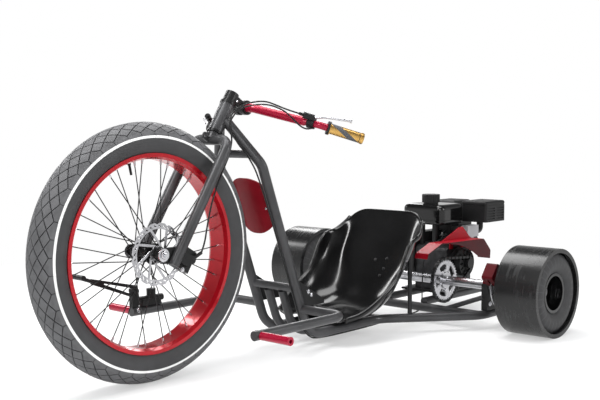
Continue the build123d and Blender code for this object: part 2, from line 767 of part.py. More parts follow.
ROTOR_FACE = Plane(origin=front_axle + Vector(0, ROTOR_Y - ROTOR_T / 2, 0), x_dir=(1, 0, 0), z_dir=(0, 1, 0))
with BuildPart() as front_rotor:
    with BuildSketch(ROTOR_FACE):
        Circle(ROTOR_R)
        with PolarLocations(ROTOR_R + 5, 16):
            Circle(9, mode=Mode.SUBTRACT)
        Circle(ROTOR_R - ROTOR_TRACK, mode=Mode.SUBTRACT)
        with PolarLocations(ROTOR_R - ROTOR_TRACK / 2 - 1, 32, start_angle=5.6):
            SlotOverall(11, 3.6, rotation=55, mode=Mode.SUBTRACT)
    extrude(amount=ROTOR_T)
    with BuildSketch(ROTOR_FACE):
        with PolarLocations(48, 8, start_angle=8):
            Rectangle(60, 7, rotation=28)
        Circle(25)
        Circle(HUB_R + 0.5, mode=Mode.SUBTRACT)
    extrude(amount=ROTOR_T)
save(front_rotor.part, "front_rotor")

# Live rear axle: shaft, wheel hubs, rims, tyres, drift sleeves, sprocket and disc
rear_axle = Vector(REAR_AXLE_X, 0, REAR_AXLE_Z)
WHEEL_MID_Y = SLEEVE_OUTER_Y - SLEEVE_WIDTH / 2
shaft_half = WHEEL_MID_Y + 30
save(rod(rear_axle - Vector(0, shaft_half, 0), rear_axle + Vector(0, shaft_half, 0), SHAFT_R), "rear_shaft")

with BuildPart() as drift_sleeves:
    for side in (1, -1):
        inner = rear_axle + Vector(0, side * (SLEEVE_OUTER_Y - SLEEVE_WIDTH), 0)
        add(rod(inner, inner + Vector(0, side * SLEEVE_WIDTH, 0), SLEEVE_R, SLEEVE_R - SLEEVE_WALL))
save(drift_sleeves.part, "drift_sleeves")

with BuildPart() as rear_tyres:
    for side in (1, -1):
        centre = rear_axle + Vector(0, side * WHEEL_MID_Y, 0)
        with BuildSketch(Plane(origin=centre, x_dir=(0, 1, 0), z_dir=(-1, 0, 0))):
            with BuildLine():
                bead = KART_RIM_HALF - 3.5
                Line((bead, KART_RIM_R - 4), (bead, KART_RIM_R + 1))
                outer_right = ThreePointArc((bead, KART_RIM_R + 1), (80, 104), (66, REAR_TYRE_R - 3))
                shoulder_right = Line(outer_right @ 1, (58, REAR_TYRE_R))
                tread = Line(shoulder_right @ 1, (-58, REAR_TYRE_R))
                shoulder_left = Line(tread @ 1, (-66, REAR_TYRE_R - 3))
                outer_left = ThreePointArc((-66, REAR_TYRE_R - 3), (-80, 104), (-bead, KART_RIM_R + 1))
                Line(outer_left @ 1, (-bead, KART_RIM_R - 4))
                Line((-bead, KART_RIM_R - 4), (8 - bead, KART_RIM_R - 4))
                ThreePointArc((8 - bead, KART_RIM_R - 4), (-70, 100), (-56, REAR_TYRE_R - 9))
                Line((-56, REAR_TYRE_R - 9), (56, REAR_TYRE_R - 9))
                ThreePointArc((56, REAR_TYRE_R - 9), (70, 100), (bead - 8, KART_RIM_R - 4))
                Line((bead - 8, KART_RIM_R - 4), (bead, KART_RIM_R - 4))
            make_face()
        revolve(axis=Axis(centre, (0, 1, 0)))
save(rear_tyres.part, "rear_tyres")

WHEEL_HUB_R = 27.0
WEB_Y = 4.0
rim_outer = [
    (KART_RIM_HALF, KART_RIM_R),
    (KART_RIM_HALF - 3, KART_RIM_R),
    (KART_RIM_HALF - 3, KART_RIM_R - 6),
]
kart_rim = rim_outer + [(-y, r) for y, r in reversed(rim_outer)]
kart_rim += [
    (-KART_RIM_HALF, KART_RIM_R - 10),
    (-WEB_Y, KART_RIM_R - 12),
    (-WEB_Y, WHEEL_HUB_R + JOINT_GAP),
    (WEB_Y, WHEEL_HUB_R + JOINT_GAP),
    (WEB_Y, KART_RIM_R - 12),
    (KART_RIM_HALF, KART_RIM_R - 10),
]
with BuildPart() as rear_rims:
    for side in (1, -1):
        add(spun(kart_rim, rear_axle + Vector(0, side * WHEEL_MID_Y, 0)))
save(rear_rims.part, "rear_rims")

hub_rows = [
    (-58, SHAFT_R + 0.1),
    (-58, WHEEL_HUB_R),
    (-WEB_Y - 12, WHEEL_HUB_R),
    (-WEB_Y - 8, 48),
    (-WEB_Y - JOINT_GAP, 48),
    (-WEB_Y - JOINT_GAP, WHEEL_HUB_R),
    (WEB_Y + 8, WHEEL_HUB_R),
    (WEB_Y + 8, SHAFT_R + 0.1),
]
with BuildPart() as wheel_hubs:
    for side in (1, -1):
        centre = rear_axle + Vector(0, side * WHEEL_MID_Y, 0)
        add(spun([(side * y, r) for y, r in hub_rows], centre))
save(wheel_hubs.part, "wheel_hubs")

SPROCKET_PITCH_R = CHAIN_PITCH / (2 * sin(pi / SPROCKET_TEETH))
DRIVE_PITCH_R = CHAIN_PITCH / (2 * sin(pi / DRIVE_TEETH))
TIP_GAP = 0.9
SPROCKET_TIP_R = SPROCKET_PITCH_R - CHAIN_HALF - TIP_GAP
SPROCKET_FACE = Plane(origin=rear_axle + Vector(0, SPROCKET_Y - 3, 0), x_dir=(1, 0, 0), z_dir=(0, 1, 0))
WINDOW_SPAN = 46.0
window_outer = SPROCKET_TIP_R - 15.0
window_inner = SHAFT_R + 20.0
with BuildSketch() as window:
    with BuildLine():
        outer_arc = CenterArc((0, 0), window_outer, -WINDOW_SPAN / 2, WINDOW_SPAN)
        inner_arc = CenterArc((0, 0), window_inner, -WINDOW_SPAN / 2, WINDOW_SPAN)
        Line(outer_arc @ 0, inner_arc @ 0)
        Line(outer_arc @ 1, inner_arc @ 1)
    make_face()
    fillet(window.vertices(), radius=5)
with BuildPart() as rear_sprocket:
    with BuildSketch(SPROCKET_FACE):
        Circle(SPROCKET_TIP_R - 4.5)
        with PolarLocations(SPROCKET_TIP_R - 3.0, SPROCKET_TEETH):
            Trapezoid(7.5, 6.0, 68, rotation=-90)
        with PolarLocations(0, 5):
            add(window.sketch, mode=Mode.SUBTRACT)
        Circle(SHAFT_R + 0.1, mode=Mode.SUBTRACT)
    extrude(amount=6)
    with BuildSketch(SPROCKET_FACE.offset(6)):
        Circle(31)
        Circle(SHAFT_R + 0.1, mode=Mode.SUBTRACT)
    extrude(amount=5)
    with BuildSketch(SPROCKET_FACE):
        Circle(24)
        Circle(SHAFT_R + 0.1, mode=Mode.SUBTRACT)
    extrude(amount=-26)
save(rear_sprocket.part, "rear_sprocket")

DISC_FACE = Plane(origin=rear_axle + Vector(0, DISC_Y - DISC_T / 2, 0), x_dir=(1, 0, 0), z_dir=(0, 1, 0))
with BuildPart() as rear_disc:
    with BuildSketch(DISC_FACE):
        Circle(DISC_R)
        with PolarLocations(44, 6):
            Circle(11, mode=Mode.SUBTRACT)
        Circle(SHAFT_R + 0.1, mode=Mode.SUBTRACT)
    extrude(amount=DISC_T)
    with BuildSketch(DISC_FACE.offset(DISC_T)):
        Circle(26)
        Circle(SHAFT_R + 0.1, mode=Mode.SUBTRACT)
    extrude(amount=24)
save(rear_disc.part, "rear_disc")

# Bearing brackets standing on the rails: an outer plate with front and rear flanges, bearings and braces
bracket_foot_z = RAIL_Z + TUBE_R + JOINT_GAP
bracket_top_z = REAR_AXLE_Z + BEARING_R + 12.5
bracket_low_z = REAR_AXLE_Z + 4.0
bracket_inner = BRACKET_Y - BRACKET_T / 2
bracket_outer = BRACKET_Y + BRACKET_T / 2
with BuildPart() as bearing_brackets:
    for side in (1, -1):
        with BuildSketch(Plane.XZ.offset(-side * bracket_outer)):
            with BuildLine():
                Polyline(
                    (aft(BRACKET_HALF), bracket_foot_z),
                    (aft(BRACKET_HALF), bracket_top_z - 24),
                    (aft(BRACKET_HALF - 16), bracket_top_z),
                    (aft(-BRACKET_HALF), bracket_top_z),
                    (aft(-BRACKET_HALF), bracket_foot_z),
                    close=True,
                )
            make_face()
            with Locations((REAR_AXLE_X, REAR_AXLE_Z)):
                Circle(BEARING_R, mode=Mode.SUBTRACT)
        extrude(amount=side * BRACKET_WALL)
        front_flange = (aft(-BRACKET_HALF), bracket_top_z)
        rear_flange = (aft(BRACKET_HALF - BRACKET_WALL), bracket_top_z - 24)
        for x, top_z in (front_flange, rear_flange):
            with BuildSketch(Plane.YZ.offset(x)):
                with BuildLine():
                    Polyline(
                        (side * bracket_outer, bracket_foot_z),
                        (side * bracket_outer, top_z),
                        (side * (bracket_outer - BRACKET_WALL), top_z),
                        (side * bracket_inner, bracket_low_z),
                        (side * bracket_inner, bracket_foot_z),
                        close=True,
                    )
                make_face()
            extrude(amount=-BRACKET_WALL)
save(bearing_brackets.part, "bearing_brackets")

with BuildPart() as axle_bearings:
    for side in (1, -1):
        bearing_end = side * (bracket_outer + 3)
        add(
            rod(
                (REAR_AXLE_X, side * (bracket_inner + 1), REAR_AXLE_Z),
                (REAR_AXLE_X, bearing_end, REAR_AXLE_Z),
                BEARING_R - JOINT_GAP,
                SHAFT_R + RUNNING_FIT,
            )
        )
save(axle_bearings.part, "axle_bearings")

with BuildPart() as axle_braces:
    for side in (1, -1):
        brace_foot = (cross_x, side * (RAIL_REAR_Y - 150), RAIL_Z + 8)
        add(rod(brace_foot, (aft(3 - BRACKET_HALF), side * (bracket_inner + 6), 118), 9.0))
    add(bearing_brackets.part, mode=Mode.SUBTRACT)
    add(rear_cross_keep, mode=Mode.SUBTRACT)
with BuildPart() as axle_braces_kept:
    for solid in axle_braces.part.solids():
        if solid.volume > 5000:
            add(solid)
save(axle_braces_kept.part, "axle_braces")

# Rear caliper astride the disc, on a lug bolted to the left bracket
CALIPER_ANGLE = 38.0
CALIPER_WIDE = 60.0
CALIPER_SIDE = 20.0
caliper_turn = radians(CALIPER_ANGLE)
caliper_x = REAR_AXLE_X + (DISC_R + 5) * cos(caliper_turn)
caliper_z = REAR_AXLE_Z + (DISC_R + 5) * sin(caliper_turn)
CALIPER_FACE = Plane(
    origin=(caliper_x, DISC_Y, caliper_z), x_dir=(cos(caliper_turn), 0, sin(caliper_turn)), z_dir=(0, 1, 0)
)
with BuildPart() as rear_caliper:
    with BuildSketch(CALIPER_FACE.offset(-DISC_T / 2 - CALIPER_SIDE)):
        RectangleRounded(CALIPER_WIDE, 66, 9)
    extrude(amount=DISC_T + 2 * CALIPER_SIDE)
    with BuildSketch(CALIPER_FACE.offset(-DISC_T / 2 - 1.5)):
        with Locations((-14, 0)):
            Rectangle(CALIPER_WIDE, 120)
    extrude(amount=DISC_T + 3, mode=Mode.SUBTRACT)
    lug_end = DISC_Y - DISC_T / 2 - CALIPER_SIDE + 2
    add(block(aft(-28), aft(-74), bracket_outer + 0.3, lug_end, bracket_top_z - 26, bracket_top_z - 1))
    piston_end = DISC_Y + DISC_T / 2 + CALIPER_SIDE + 6
    add(rod((caliper_x, lug_end, caliper_z), (caliper_x, piston_end, caliper_z), 15.0))
    with BuildSketch(CALIPER_FACE.offset(-DISC_T / 2 - 1.5)):
        with Locations((-14, 0)):
            Rectangle(CALIPER_WIDE, 120)
    extrude(amount=DISC_T + 3, mode=Mode.SUBTRACT)
save(rear_caliper.part, "rear_caliper")

# Engine bed: two rails, an end tube and a plate
bed_end = 350.0
with BuildPart() as engine_bed:
    rail_z = ENGINE_BASE_Z - PLATE_T - 0.2 - ENGINE_RAIL_R
    for side in (1, -1):
        start = (cross_x - 6, side * ENGINE_RAIL_Y, rail_z)
        end = (aft(bed_end - ENGINE_RAIL_R - JOINT_GAP), side * ENGINE_RAIL_Y, rail_z)
        add(rod(start, end, ENGINE_RAIL_R))
    add(rod((aft(bed_end), -105, rail_z), (aft(bed_end), 105, rail_z), ENGINE_RAIL_R))
    add(rear_cross_keep, mode=Mode.SUBTRACT)
with BuildPart() as engine_bed_kept:
    for solid in engine_bed.part.solids():
        if solid.volume > 50000:
            add(solid)
save(engine_bed_kept.part, "engine_bed")
save(block(aft(60), aft(330), -105, 105, ENGINE_BASE_Z - PLATE_T, ENGINE_BASE_Z - 0.2), "engine_plate")

# Crankcase with side cover, finned cylinder, cowl, tank, filter, carburettor, muffler
crank_x = aft(CRANK_AFT)
crank = Vector(crank_x, 0, CRANK_Z)
with BuildPart() as crankcase:
    with BuildSketch(Plane.XZ.offset(-PTO_Y)):
        with BuildLine():
            FilletPolyline(
                (crank_x + 78, ENGINE_BASE_Z),
                (crank_x + 78, 262),
                (crank_x + 40, 278),
                (crank_x - 62, 278),
                (crank_x - 62, 190),
                (crank_x - 92, 160),
                (crank_x - 92, ENGINE_BASE_Z),
                radius=[2, 20, 20, 10, 12, 12, 2],
                close=True,
            )
        make_face()
    extrude(amount=150)
    with BuildSketch(Plane.XZ.offset(-PTO_Y)):
        with Locations((crank_x, CRANK_Z)):
            Circle(58)
    extrude(amount=-5)
    with BuildSketch(Plane.XZ.offset(-PTO_Y - 5)):
        with Locations((crank_x, CRANK_Z)):
            Circle(12)
    extrude(amount=-12)
save(crankcase.part, "crankcase")

cyl_tilt = radians(25)
cyl_run = Vector(-cos(cyl_tilt), 0, sin(cyl_tilt))
CYL = Plane(origin=(crank_x - 30, 20, 235), x_dir=(0, 1, 0), z_dir=cyl_run)
with BuildPart() as cylinder:
    with BuildSketch(CYL.offset(36)):
        RectangleRounded(84, 62, 12)
    extrude(amount=110)
    for index in range(8):
        with BuildSketch(CYL.offset(44 + 11 * index)):
            RectangleRounded(124, 92, 16)
        extrude(amount=4)
    with BuildSketch(CYL.offset(134)):
        RectangleRounded(100, 78, 12)
    extrude(amount=26)
    add(crankcase.part, mode=Mode.SUBTRACT)
with BuildPart() as cylinder_kept:
    add(cylinder.part.solids().sort_by(SortBy.VOLUME)[-1])
save(cylinder_kept.part, "cylinder")

COWL_FACE_Y = PTO_Y - 150 - 62
RECOIL_T = 22.0
with BuildPart() as fan_cowl:
    with BuildSketch(Plane.XZ.offset(150 - PTO_Y + 0.2)):
        with Locations((crank_x - 10, CRANK_Z)):
            Circle(100)
        with Locations((crank_x - 10, 262)):
            Rectangle(190, 110)
    extrude(amount=62)
    fillet(fan_cowl.faces().sort_by(Axis.Y)[0].edges(), radius=14)
    with BuildSketch(Plane.XZ.offset(150 - PTO_Y + 62)):
        with Locations((crank_x - 10, CRANK_Z)):
            Circle(70)
    extrude(amount=RECOIL_T)
    recoil_face = COWL_FACE_Y - RECOIL_T
    with BuildSketch(Plane.XZ.offset(-recoil_face)):
        with Locations((crank_x - 10, CRANK_Z)):
            with PolarLocations(46, 14):
                SlotOverall(30, 7, mode=Mode.ADD)
    extrude(amount=-8, mode=Mode.SUBTRACT)
    handle_y = COWL_FACE_Y - 7
    add(rod((crank_x + 74, handle_y, CRANK_Z + 4), (crank_x + 74, handle_y, CRANK_Z + 50), 8.0))
save(fan_cowl.part, "fan_cowl")

TANK_X0 = aft(262)
TANK_X1 = aft(98)
TANK_WIDTH = 196.0
TANK_Y = -36.0
TANK_Z = 352.0
TANK_H = 80.0
TANK_SEAM = 6.0
tank_x = (TANK_X0 + TANK_X1) / 2
with BuildPart() as fuel_tank:
    with BuildSketch(Plane.XY.offset(TANK_Z)):
        with Locations((tank_x, TANK_Y)):
            RectangleRounded(TANK_X1 - TANK_X0, TANK_WIDTH, 26)
    extrude(amount=TANK_H)
    fillet(fuel_tank.faces().sort_by(Axis.Z)[-1].edges(), radius=22)
    fillet(fuel_tank.faces().sort_by(Axis.Z)[0].edges(), radius=10)
    with BuildSketch(Plane.XY.offset(TANK_Z + 14)):
        with Locations((tank_x, TANK_Y)):
            RectangleRounded(TANK_X1 - TANK_X0 + 2 * TANK_SEAM, TANK_WIDTH + 2 * TANK_SEAM, 26 + TANK_SEAM)
    extrude(amount=4)
save(fuel_tank.part, "fuel_tank")

with BuildPart() as tank_stands:
    for x in (crank_x + 52, crank_x - 46):
        for y in (-40, 20):
            with BuildSketch(Plane.XY.offset(262)):
                with Locations((x, y)):
                    Rectangle(14, 16)
            extrude(amount=89.8)
    add(crankcase.part, mode=Mode.SUBTRACT)
    add(cylinder_kept.part, mode=Mode.SUBTRACT)
with BuildPart() as tank_stands_kept:
    for solid in tank_stands.part.solids():
        if solid.bounding_box().max.Z > 351:
            add(solid)
save(tank_stands_kept.part, "tank_stands")

CAP_X = aft(155)
CAP_Y = -30.0
CAP_R = 36.0
CAP_H = 32.0
NECK_R = 30.0
NECK_H = 6.0
neck_z = TANK_Z + TANK_H + JOINT_GAP
with BuildPart() as fuel_cap:
    with BuildSketch(Plane.XY.offset(neck_z)):
        with Locations((CAP_X, CAP_Y)):
            Circle(NECK_R)
    extrude(amount=NECK_H)
    with BuildSketch(Plane.XY.offset(neck_z + NECK_H)):
        with Locations((CAP_X, CAP_Y)):
            Circle(CAP_R)
            with PolarLocations(CAP_R + 2, 22):
                Circle(3.4, mode=Mode.SUBTRACT)
    extrude(amount=CAP_H)
    fillet(fuel_cap.faces().sort_by(Axis.Z)[-1].edges(), radius=2)
save(fuel_cap.part, "fuel_cap")

# Air filter box with a lid groove and two columns of louvres in its outer face
FILTER_X0 = aft(431)
FILTER_X1 = aft(283)
FILTER_Y0 = 30.0
FILTER_Y1 = 150.0
FILTER_Z = 356.0
FILTER_H = 84.0
LID_H = 17.0
filter_x = (FILTER_X0 + FILTER_X1) / 2
filter_y = (FILTER_Y0 + FILTER_Y1) / 2
with BuildPart() as air_filter:
    with BuildSketch(Plane.XY.offset(FILTER_Z)):
        with Locations((filter_x, filter_y)):
            RectangleRounded(FILTER_X1 - FILTER_X0, FILTER_Y1 - FILTER_Y0, 10)
    extrude(amount=FILTER_H)
    fillet(air_filter.faces().sort_by(Axis.Z)[-1].edges(), radius=9)
    with BuildSketch(Plane.XY.offset(FILTER_Z + FILTER_H - LID_H)):
        with Locations((filter_x, filter_y)):
            Rectangle(FILTER_X1 - FILTER_X0 + 20, FILTER_Y1 - FILTER_Y0 + 20)
            RectangleRounded(FILTER_X1 - FILTER_X0 - 4, FILTER_Y1 - FILTER_Y0 - 4, 8, mode=Mode.SUBTRACT)
    extrude(amount=3, mode=Mode.SUBTRACT)
    for column in (-34, 34):
        for level in range(5):
            with BuildSketch(Plane.XZ.offset(-FILTER_Y1)):
                with Locations((filter_x + column, FILTER_Z + 13 + 10.5 * level)):
                    Rectangle(52, 4.5)
            extrude(amount=4, mode=Mode.SUBTRACT)
save(air_filter.part, "air_filter")

# Carburettor beside the cylinder, and the elbow from it up to the filter box
CARB_Y = 99.0
CARB_Z = 322.0
CARB_FRONT = 205.0
CARB_REAR = 285.0
ELBOW_R = 13.0
elbow_x = aft(CARB_REAR + 33)
with BuildPart() as carburettor:
    add(block(aft(CARB_FRONT), aft(CARB_REAR), CARB_Y - 15, CARB_Y + 15, CARB_Z - 22, CARB_Z + 24))
    add(block(aft(CARB_FRONT + 32), aft(CARB_FRONT + 68), 60, CARB_Y, CARB_Z - 20, CARB_Z + 16))
    add(rod((aft(CARB_FRONT + 40), CARB_Y, CARB_Z - 54), (aft(CARB_FRONT + 40), CARB_Y, CARB_Z - 21), 15.0))
    add(cylinder_kept.part, mode=Mode.SUBTRACT)
with BuildPart() as carburettor_kept:
    add(carburettor.part.solids().sort_by(SortBy.VOLUME)[-1])
save(carburettor_kept.part, "carburettor")

elbow_start = (aft(CARB_REAR) - JOINT_GAP, CARB_Y, CARB_Z)
elbow_end = (elbow_x, CARB_Y, FILTER_Z - JOINT_GAP)
save(swept([elbow_start, (elbow_x, CARB_Y, CARB_Z), elbow_end], [16], ELBOW_R), "intake_elbow")

MUFFLER_Y = -68.0
MUFFLER_Z = 300.0
with BuildPart() as muffler:
    with BuildSketch(Plane.XY.offset(MUFFLER_Z)):
        with Locations((aft(365), MUFFLER_Y)):
            RectangleRounded(140, 124, 24)
    extrude(amount=136)
    fillet(muffler.faces().sort_by(Axis.Z)[-1].edges(), radius=18)
    pipe_z = MUFFLER_Z + 60
    add(rod((aft(400), MUFFLER_Y, pipe_z), (aft(452), MUFFLER_Y, pipe_z), 14.0))
    add(rod((aft(436), MUFFLER_Y, pipe_z), (aft(460), MUFFLER_Y, pipe_z), 11.0), mode=Mode.SUBTRACT)
    add(cylinder_kept.part, mode=Mode.SUBTRACT)
save(muffler.part, "muffler")

# Clutch drum with drive sprocket on the crank end
CLUTCH_R = 52.0
CLUTCH_T = 26.0
clutch_y = PTO_Y + 17.2
with BuildPart() as clutch:
    with BuildSketch(Plane.XZ.offset(-clutch_y)):
        with Locations((crank_x, CRANK_Z)):
            Circle(CLUTCH_R)
    extrude(amount=-CLUTCH_T)
    with BuildSketch(Plane.XZ.offset(-clutch_y - CLUTCH_T)):
        with Locations((crank_x, CRANK_Z)):
            with PolarLocations(39, 12):
                SlotOverall(19, 7)
    extrude(amount=7, mode=Mode.SUBTRACT)
    with BuildSketch(Plane.XZ.offset(-SPROCKET_Y + 3.5)):
        with Locations((crank_x, CRANK_Z)):
            Circle(DRIVE_PITCH_R - CHAIN_HALF - TIP_GAP)
    extrude(amount=-12)
    with BuildSketch(Plane.XZ.offset(-clutch_y - CLUTCH_T)):
        with Locations((crank_x, CRANK_Z)):
            Circle(DRIVE_PITCH_R - CHAIN_HALF - TIP_GAP)
    extrude(amount=-10)
save(clutch.part, "clutch")

# Drive chain: a closed loop of links round the two sprockets
span_x = crank.X - rear_axle.X
span_z = crank.Z - rear_axle.Z
centre_distance = sqrt(span_x ** 2 + span_z ** 2)
heading = atan2(span_z, span_x)
wrap = asin((SPROCKET_PITCH_R - DRIVE_PITCH_R) / centre_distance)
run_length = centre_distance * cos(wrap)
big_arc = SPROCKET_PITCH_R * (pi + 2 * wrap)
small_arc = DRIVE_PITCH_R * (pi - 2 * wrap)
loop_length = 2 * run_length + big_arc + small_arc
link_count = 2 * round(loop_length / CHAIN_PITCH / 2)


def chain_point(distance):
    distance = distance % loop_length
    lean = pi / 2 - wrap
    if distance < run_length:
        angle = heading + lean
        x = rear_axle.X + SPROCKET_PITCH_R * cos(angle)
        z = rear_axle.Z + SPROCKET_PITCH_R * sin(angle)
        return (x + distance * sin(angle), z - distance * cos(angle))
    distance -= run_length
    if distance < small_arc:
        angle = heading + lean - distance / DRIVE_PITCH_R
        return (crank.X + DRIVE_PITCH_R * cos(angle), crank.Z + DRIVE_PITCH_R * sin(angle))
    distance -= small_arc
    if distance < run_length:
        angle = heading - lean
        x = crank.X + DRIVE_PITCH_R * cos(angle)
        z = crank.Z + DRIVE_PITCH_R * sin(angle)
        return (x + distance * sin(angle), z - distance * cos(angle))
    distance -= run_length
    angle = heading - lean - distance / SPROCKET_PITCH_R
    return (rear_axle.X + SPROCKET_PITCH_R * cos(angle), rear_axle.Z + SPROCKET_PITCH_R * sin(angle))


link_points = [chain_point(loop_length * index / link_count) for index in range(link_count)]
with BuildPart() as chain:
    with BuildSketch(Plane.XZ.offset(-SPROCKET_Y + 2.5)):
        with BuildLine():
            Polyline(*link_points, close=True)
        make_face()
        offset(amount=2.2, kind=Kind.INTERSECTION)
    extrude(amount=-5)
    with BuildSketch(Plane.XZ.offset(-SPROCKET_Y + 4)):
        with BuildLine():
            Polyline(*link_points, close=True)
        make_face()
        offset(amount=-2.2, kind=Kind.INTERSECTION)
    extrude(amount=-8, mode=Mode.SUBTRACT)
    for index in range(link_count):
        x0, z0 = link_points[index]
        x1, z1 = link_points[(index + 1) % link_count]
        width = 6.0 if index % 2 else 4.2
        with BuildSketch(Plane.XZ.offset(-SPROCKET_Y + width)):
            with Locations(((x0 + x1) / 2, (z0 + z1) / 2)):
                Rectangle(10.6, 2 * CHAIN_HALF - 0.4, rotation=degrees(atan2(z1 - z0, x1 - x0)))
        extrude(amount=-2 * width)
save(chain.part, "chain")

# Chain guard: folded sheet over the chain, with an outer wall, an inner tab and two feet on the crankcase
GUARD_IN = 118.0
GUARD_OUT = 175.0
GUARD_T = 3.0
GUARD_Z = 300.0
guard_line = [
    (aft(-152), GUARD_Z - 46),
    (aft(-145), GUARD_Z - 29),
    (aft(-60), GUARD_Z + 2),
    (aft(0), GUARD_Z),
    (aft(228), GUARD_Z - 4),
    (aft(277), GUARD_Z - 52),
    (aft(274), GUARD_Z - 84),
]
tab_line = [
    (aft(7), GUARD_Z - 2),
    (aft(135), GUARD_Z + 47),
    (aft(160), GUARD_Z + 48),
    (aft(180), GUARD_Z + 30),
    (aft(206), GUARD_Z + 8),
    (aft(228), GUARD_Z - 5),
]
with BuildPart() as chain_guard:
    with BuildSketch(Plane.XZ.offset(-GUARD_IN)):
        with BuildLine():
            FilletPolyline(*guard_line, radius=[5, 14, 6, 16, 12])
            offset(amount=GUARD_T, side=Side.RIGHT)
        make_face()
    extrude(amount=GUARD_IN - GUARD_OUT)
    with BuildSketch(Plane.XZ.offset(GUARD_T - GUARD_OUT)):
        with BuildLine():
            hem = Polyline(*guard_line[3:], (aft(197), GUARD_Z - 72))
            ThreePointArc(hem @ 1, (aft(110), GUARD_Z - 28), (aft(0), GUARD_Z - 4))
            Line((aft(0), GUARD_Z - 4), guard_line[3])
        make_face()
    extrude(amount=-GUARD_T)
    add(side_plate(tab_line, GUARD_IN, GUARD_IN + GUARD_T))
    for x in (crank_x + 50, crank_x - 32):
        add(block(x - 12, x + 12, PTO_Y + JOINT_GAP, PTO_Y + JOINT_GAP + GUARD_T, GUARD_Z - 38, GUARD_Z - 3))
        add(block(x - 12, x + 12, PTO_Y + JOINT_GAP, GUARD_IN + 2, GUARD_Z - 6, GUARD_Z - 3))
save(chain_guard.part, "chain_guard")

# Rear brake pedal and master cylinder on the right peg arm
pedal_y = -PEG_Y
pedal_foot = PEG_Z + PEG_TUBE_R + 0.3
with BuildPart() as master_cylinder:
    add(block(back(262), back(190), pedal_y - 13, pedal_y + 13, pedal_foot, pedal_foot + 22))
    add(rod((back(276), pedal_y, pedal_foot + 20), (back(177), pedal_y, pedal_foot + 20), 11))
    add(rod((back(232), pedal_y, pedal_foot + 20), (back(232), pedal_y, pedal_foot + 52), 15))
save(master_cylinder.part, "master_cylinder")

wishbone = [(back(176), 230), (back(5), 271), (back(5), 254), (back(152), 196), (back(176), 204)]
wishbone_window = [(back(158), 223), (back(48), 252), (back(48), 249), (back(146), 208), (back(158), 212)]
with BuildPart() as brake_pedal:
    add(side_plate(wishbone, pedal_y - 5, pedal_y + 5))
    add(side_plate(wishbone_window, pedal_y - 8, pedal_y + 8), mode=Mode.SUBTRACT)
    add(block(back(176), back(152), pedal_y - 9, pedal_y + 9, pedal_foot, 212))
    add(rod((back(164), pedal_y - 16, 214), (back(164), pedal_y + 16, 214), 9))
    add(rod((back(9), pedal_y, 262), (back(-42), pedal_y, 281), 6))
    add(rod((back(-40), pedal_y - 28, 281), (back(-40), pedal_y + 28, 281), 8))
save(brake_pedal.part, "brake_pedal")

# Cables: front brake from the left lever to its caliper, throttle from the left perch to the carburettor
CABLE_R = 2.5
CABLE_GAP = 2.8


def cord(points, radius):
    spots = [Vector(point) for point in points]
    bends = []
    for before, here, after in zip(spots, spots[1:], spots[2:]):
        turn = (here - before).get_angle(after - here)
        shorter = min((here - before).length, (after - here).length)
        bends.append(0.45 * shorter / tan(radians(turn / 2)))
    print("cord bend radii", [round(bend) for bend in bends])
    return swept(spots, bends, radius)


clamp, along, outward, pivot = lever_frame(1)
barrel_end = pivot - outward * 34
with BuildPart() as front_brake_cable:
    add(
        cord(
            [
                barrel_end + outward * 4,
                barrel_end - outward * 36,
                bar_mid + Vector(30, 128, 20),
                bar_mid + Vector(64, 84, 11),
                steer_at(20, 63, 58),
                steer_at(17, 67, 14),
                steer_at(-16, 69, -14),
                steer_at(-33, 67, -60),
                steer_at(-31, 72, -115),
                steer_at(-33, 74, -175),
                steer_at(-42, 76, 200 - AXLE_DROP),
                steer_at(-58, 77, 146 - AXLE_DROP),
                steer_at(-74, 77, 101 - AXLE_DROP),
                steer_at(-79, 77, 64 - AXLE_DROP),
            ],
            CABLE_R,
        )
    )
    add(lever_perches.part, mode=Mode.SUBTRACT)
    add(front_caliper.part, mode=Mode.SUBTRACT)
with BuildPart() as front_brake_cable_kept:
    add(front_brake_cable.part.solids().sort_by(SortBy.VOLUME)[-1])
save(front_brake_cable_kept.part, "front_brake_cable")

with BuildPart() as bar_cable:
    add(
        cord(
            [
                clamp + Vector(2, 10, -14),
                clamp + Vector(24, 8, -20),
                clamp + Vector(42, -4, -12),
                clamp + Vector(50, -24, 8),
                clamp + Vector(60, -52, 36),
                bar_mid + Vector(14, 132, 9),
                bar_mid + Vector(44, 94, 7),
                steer_at(-5, 64, 88),
                steer_at(-6, 50, 76),
            ],
            CABLE_R,
        )
    )
    add(lever_perches.part, mode=Mode.SUBTRACT)
with BuildPart() as bar_cable_kept:
    add(bar_cable.part.solids().sort_by(SortBy.VOLUME)[-1])
save(bar_cable_kept.part, "bar_cable")

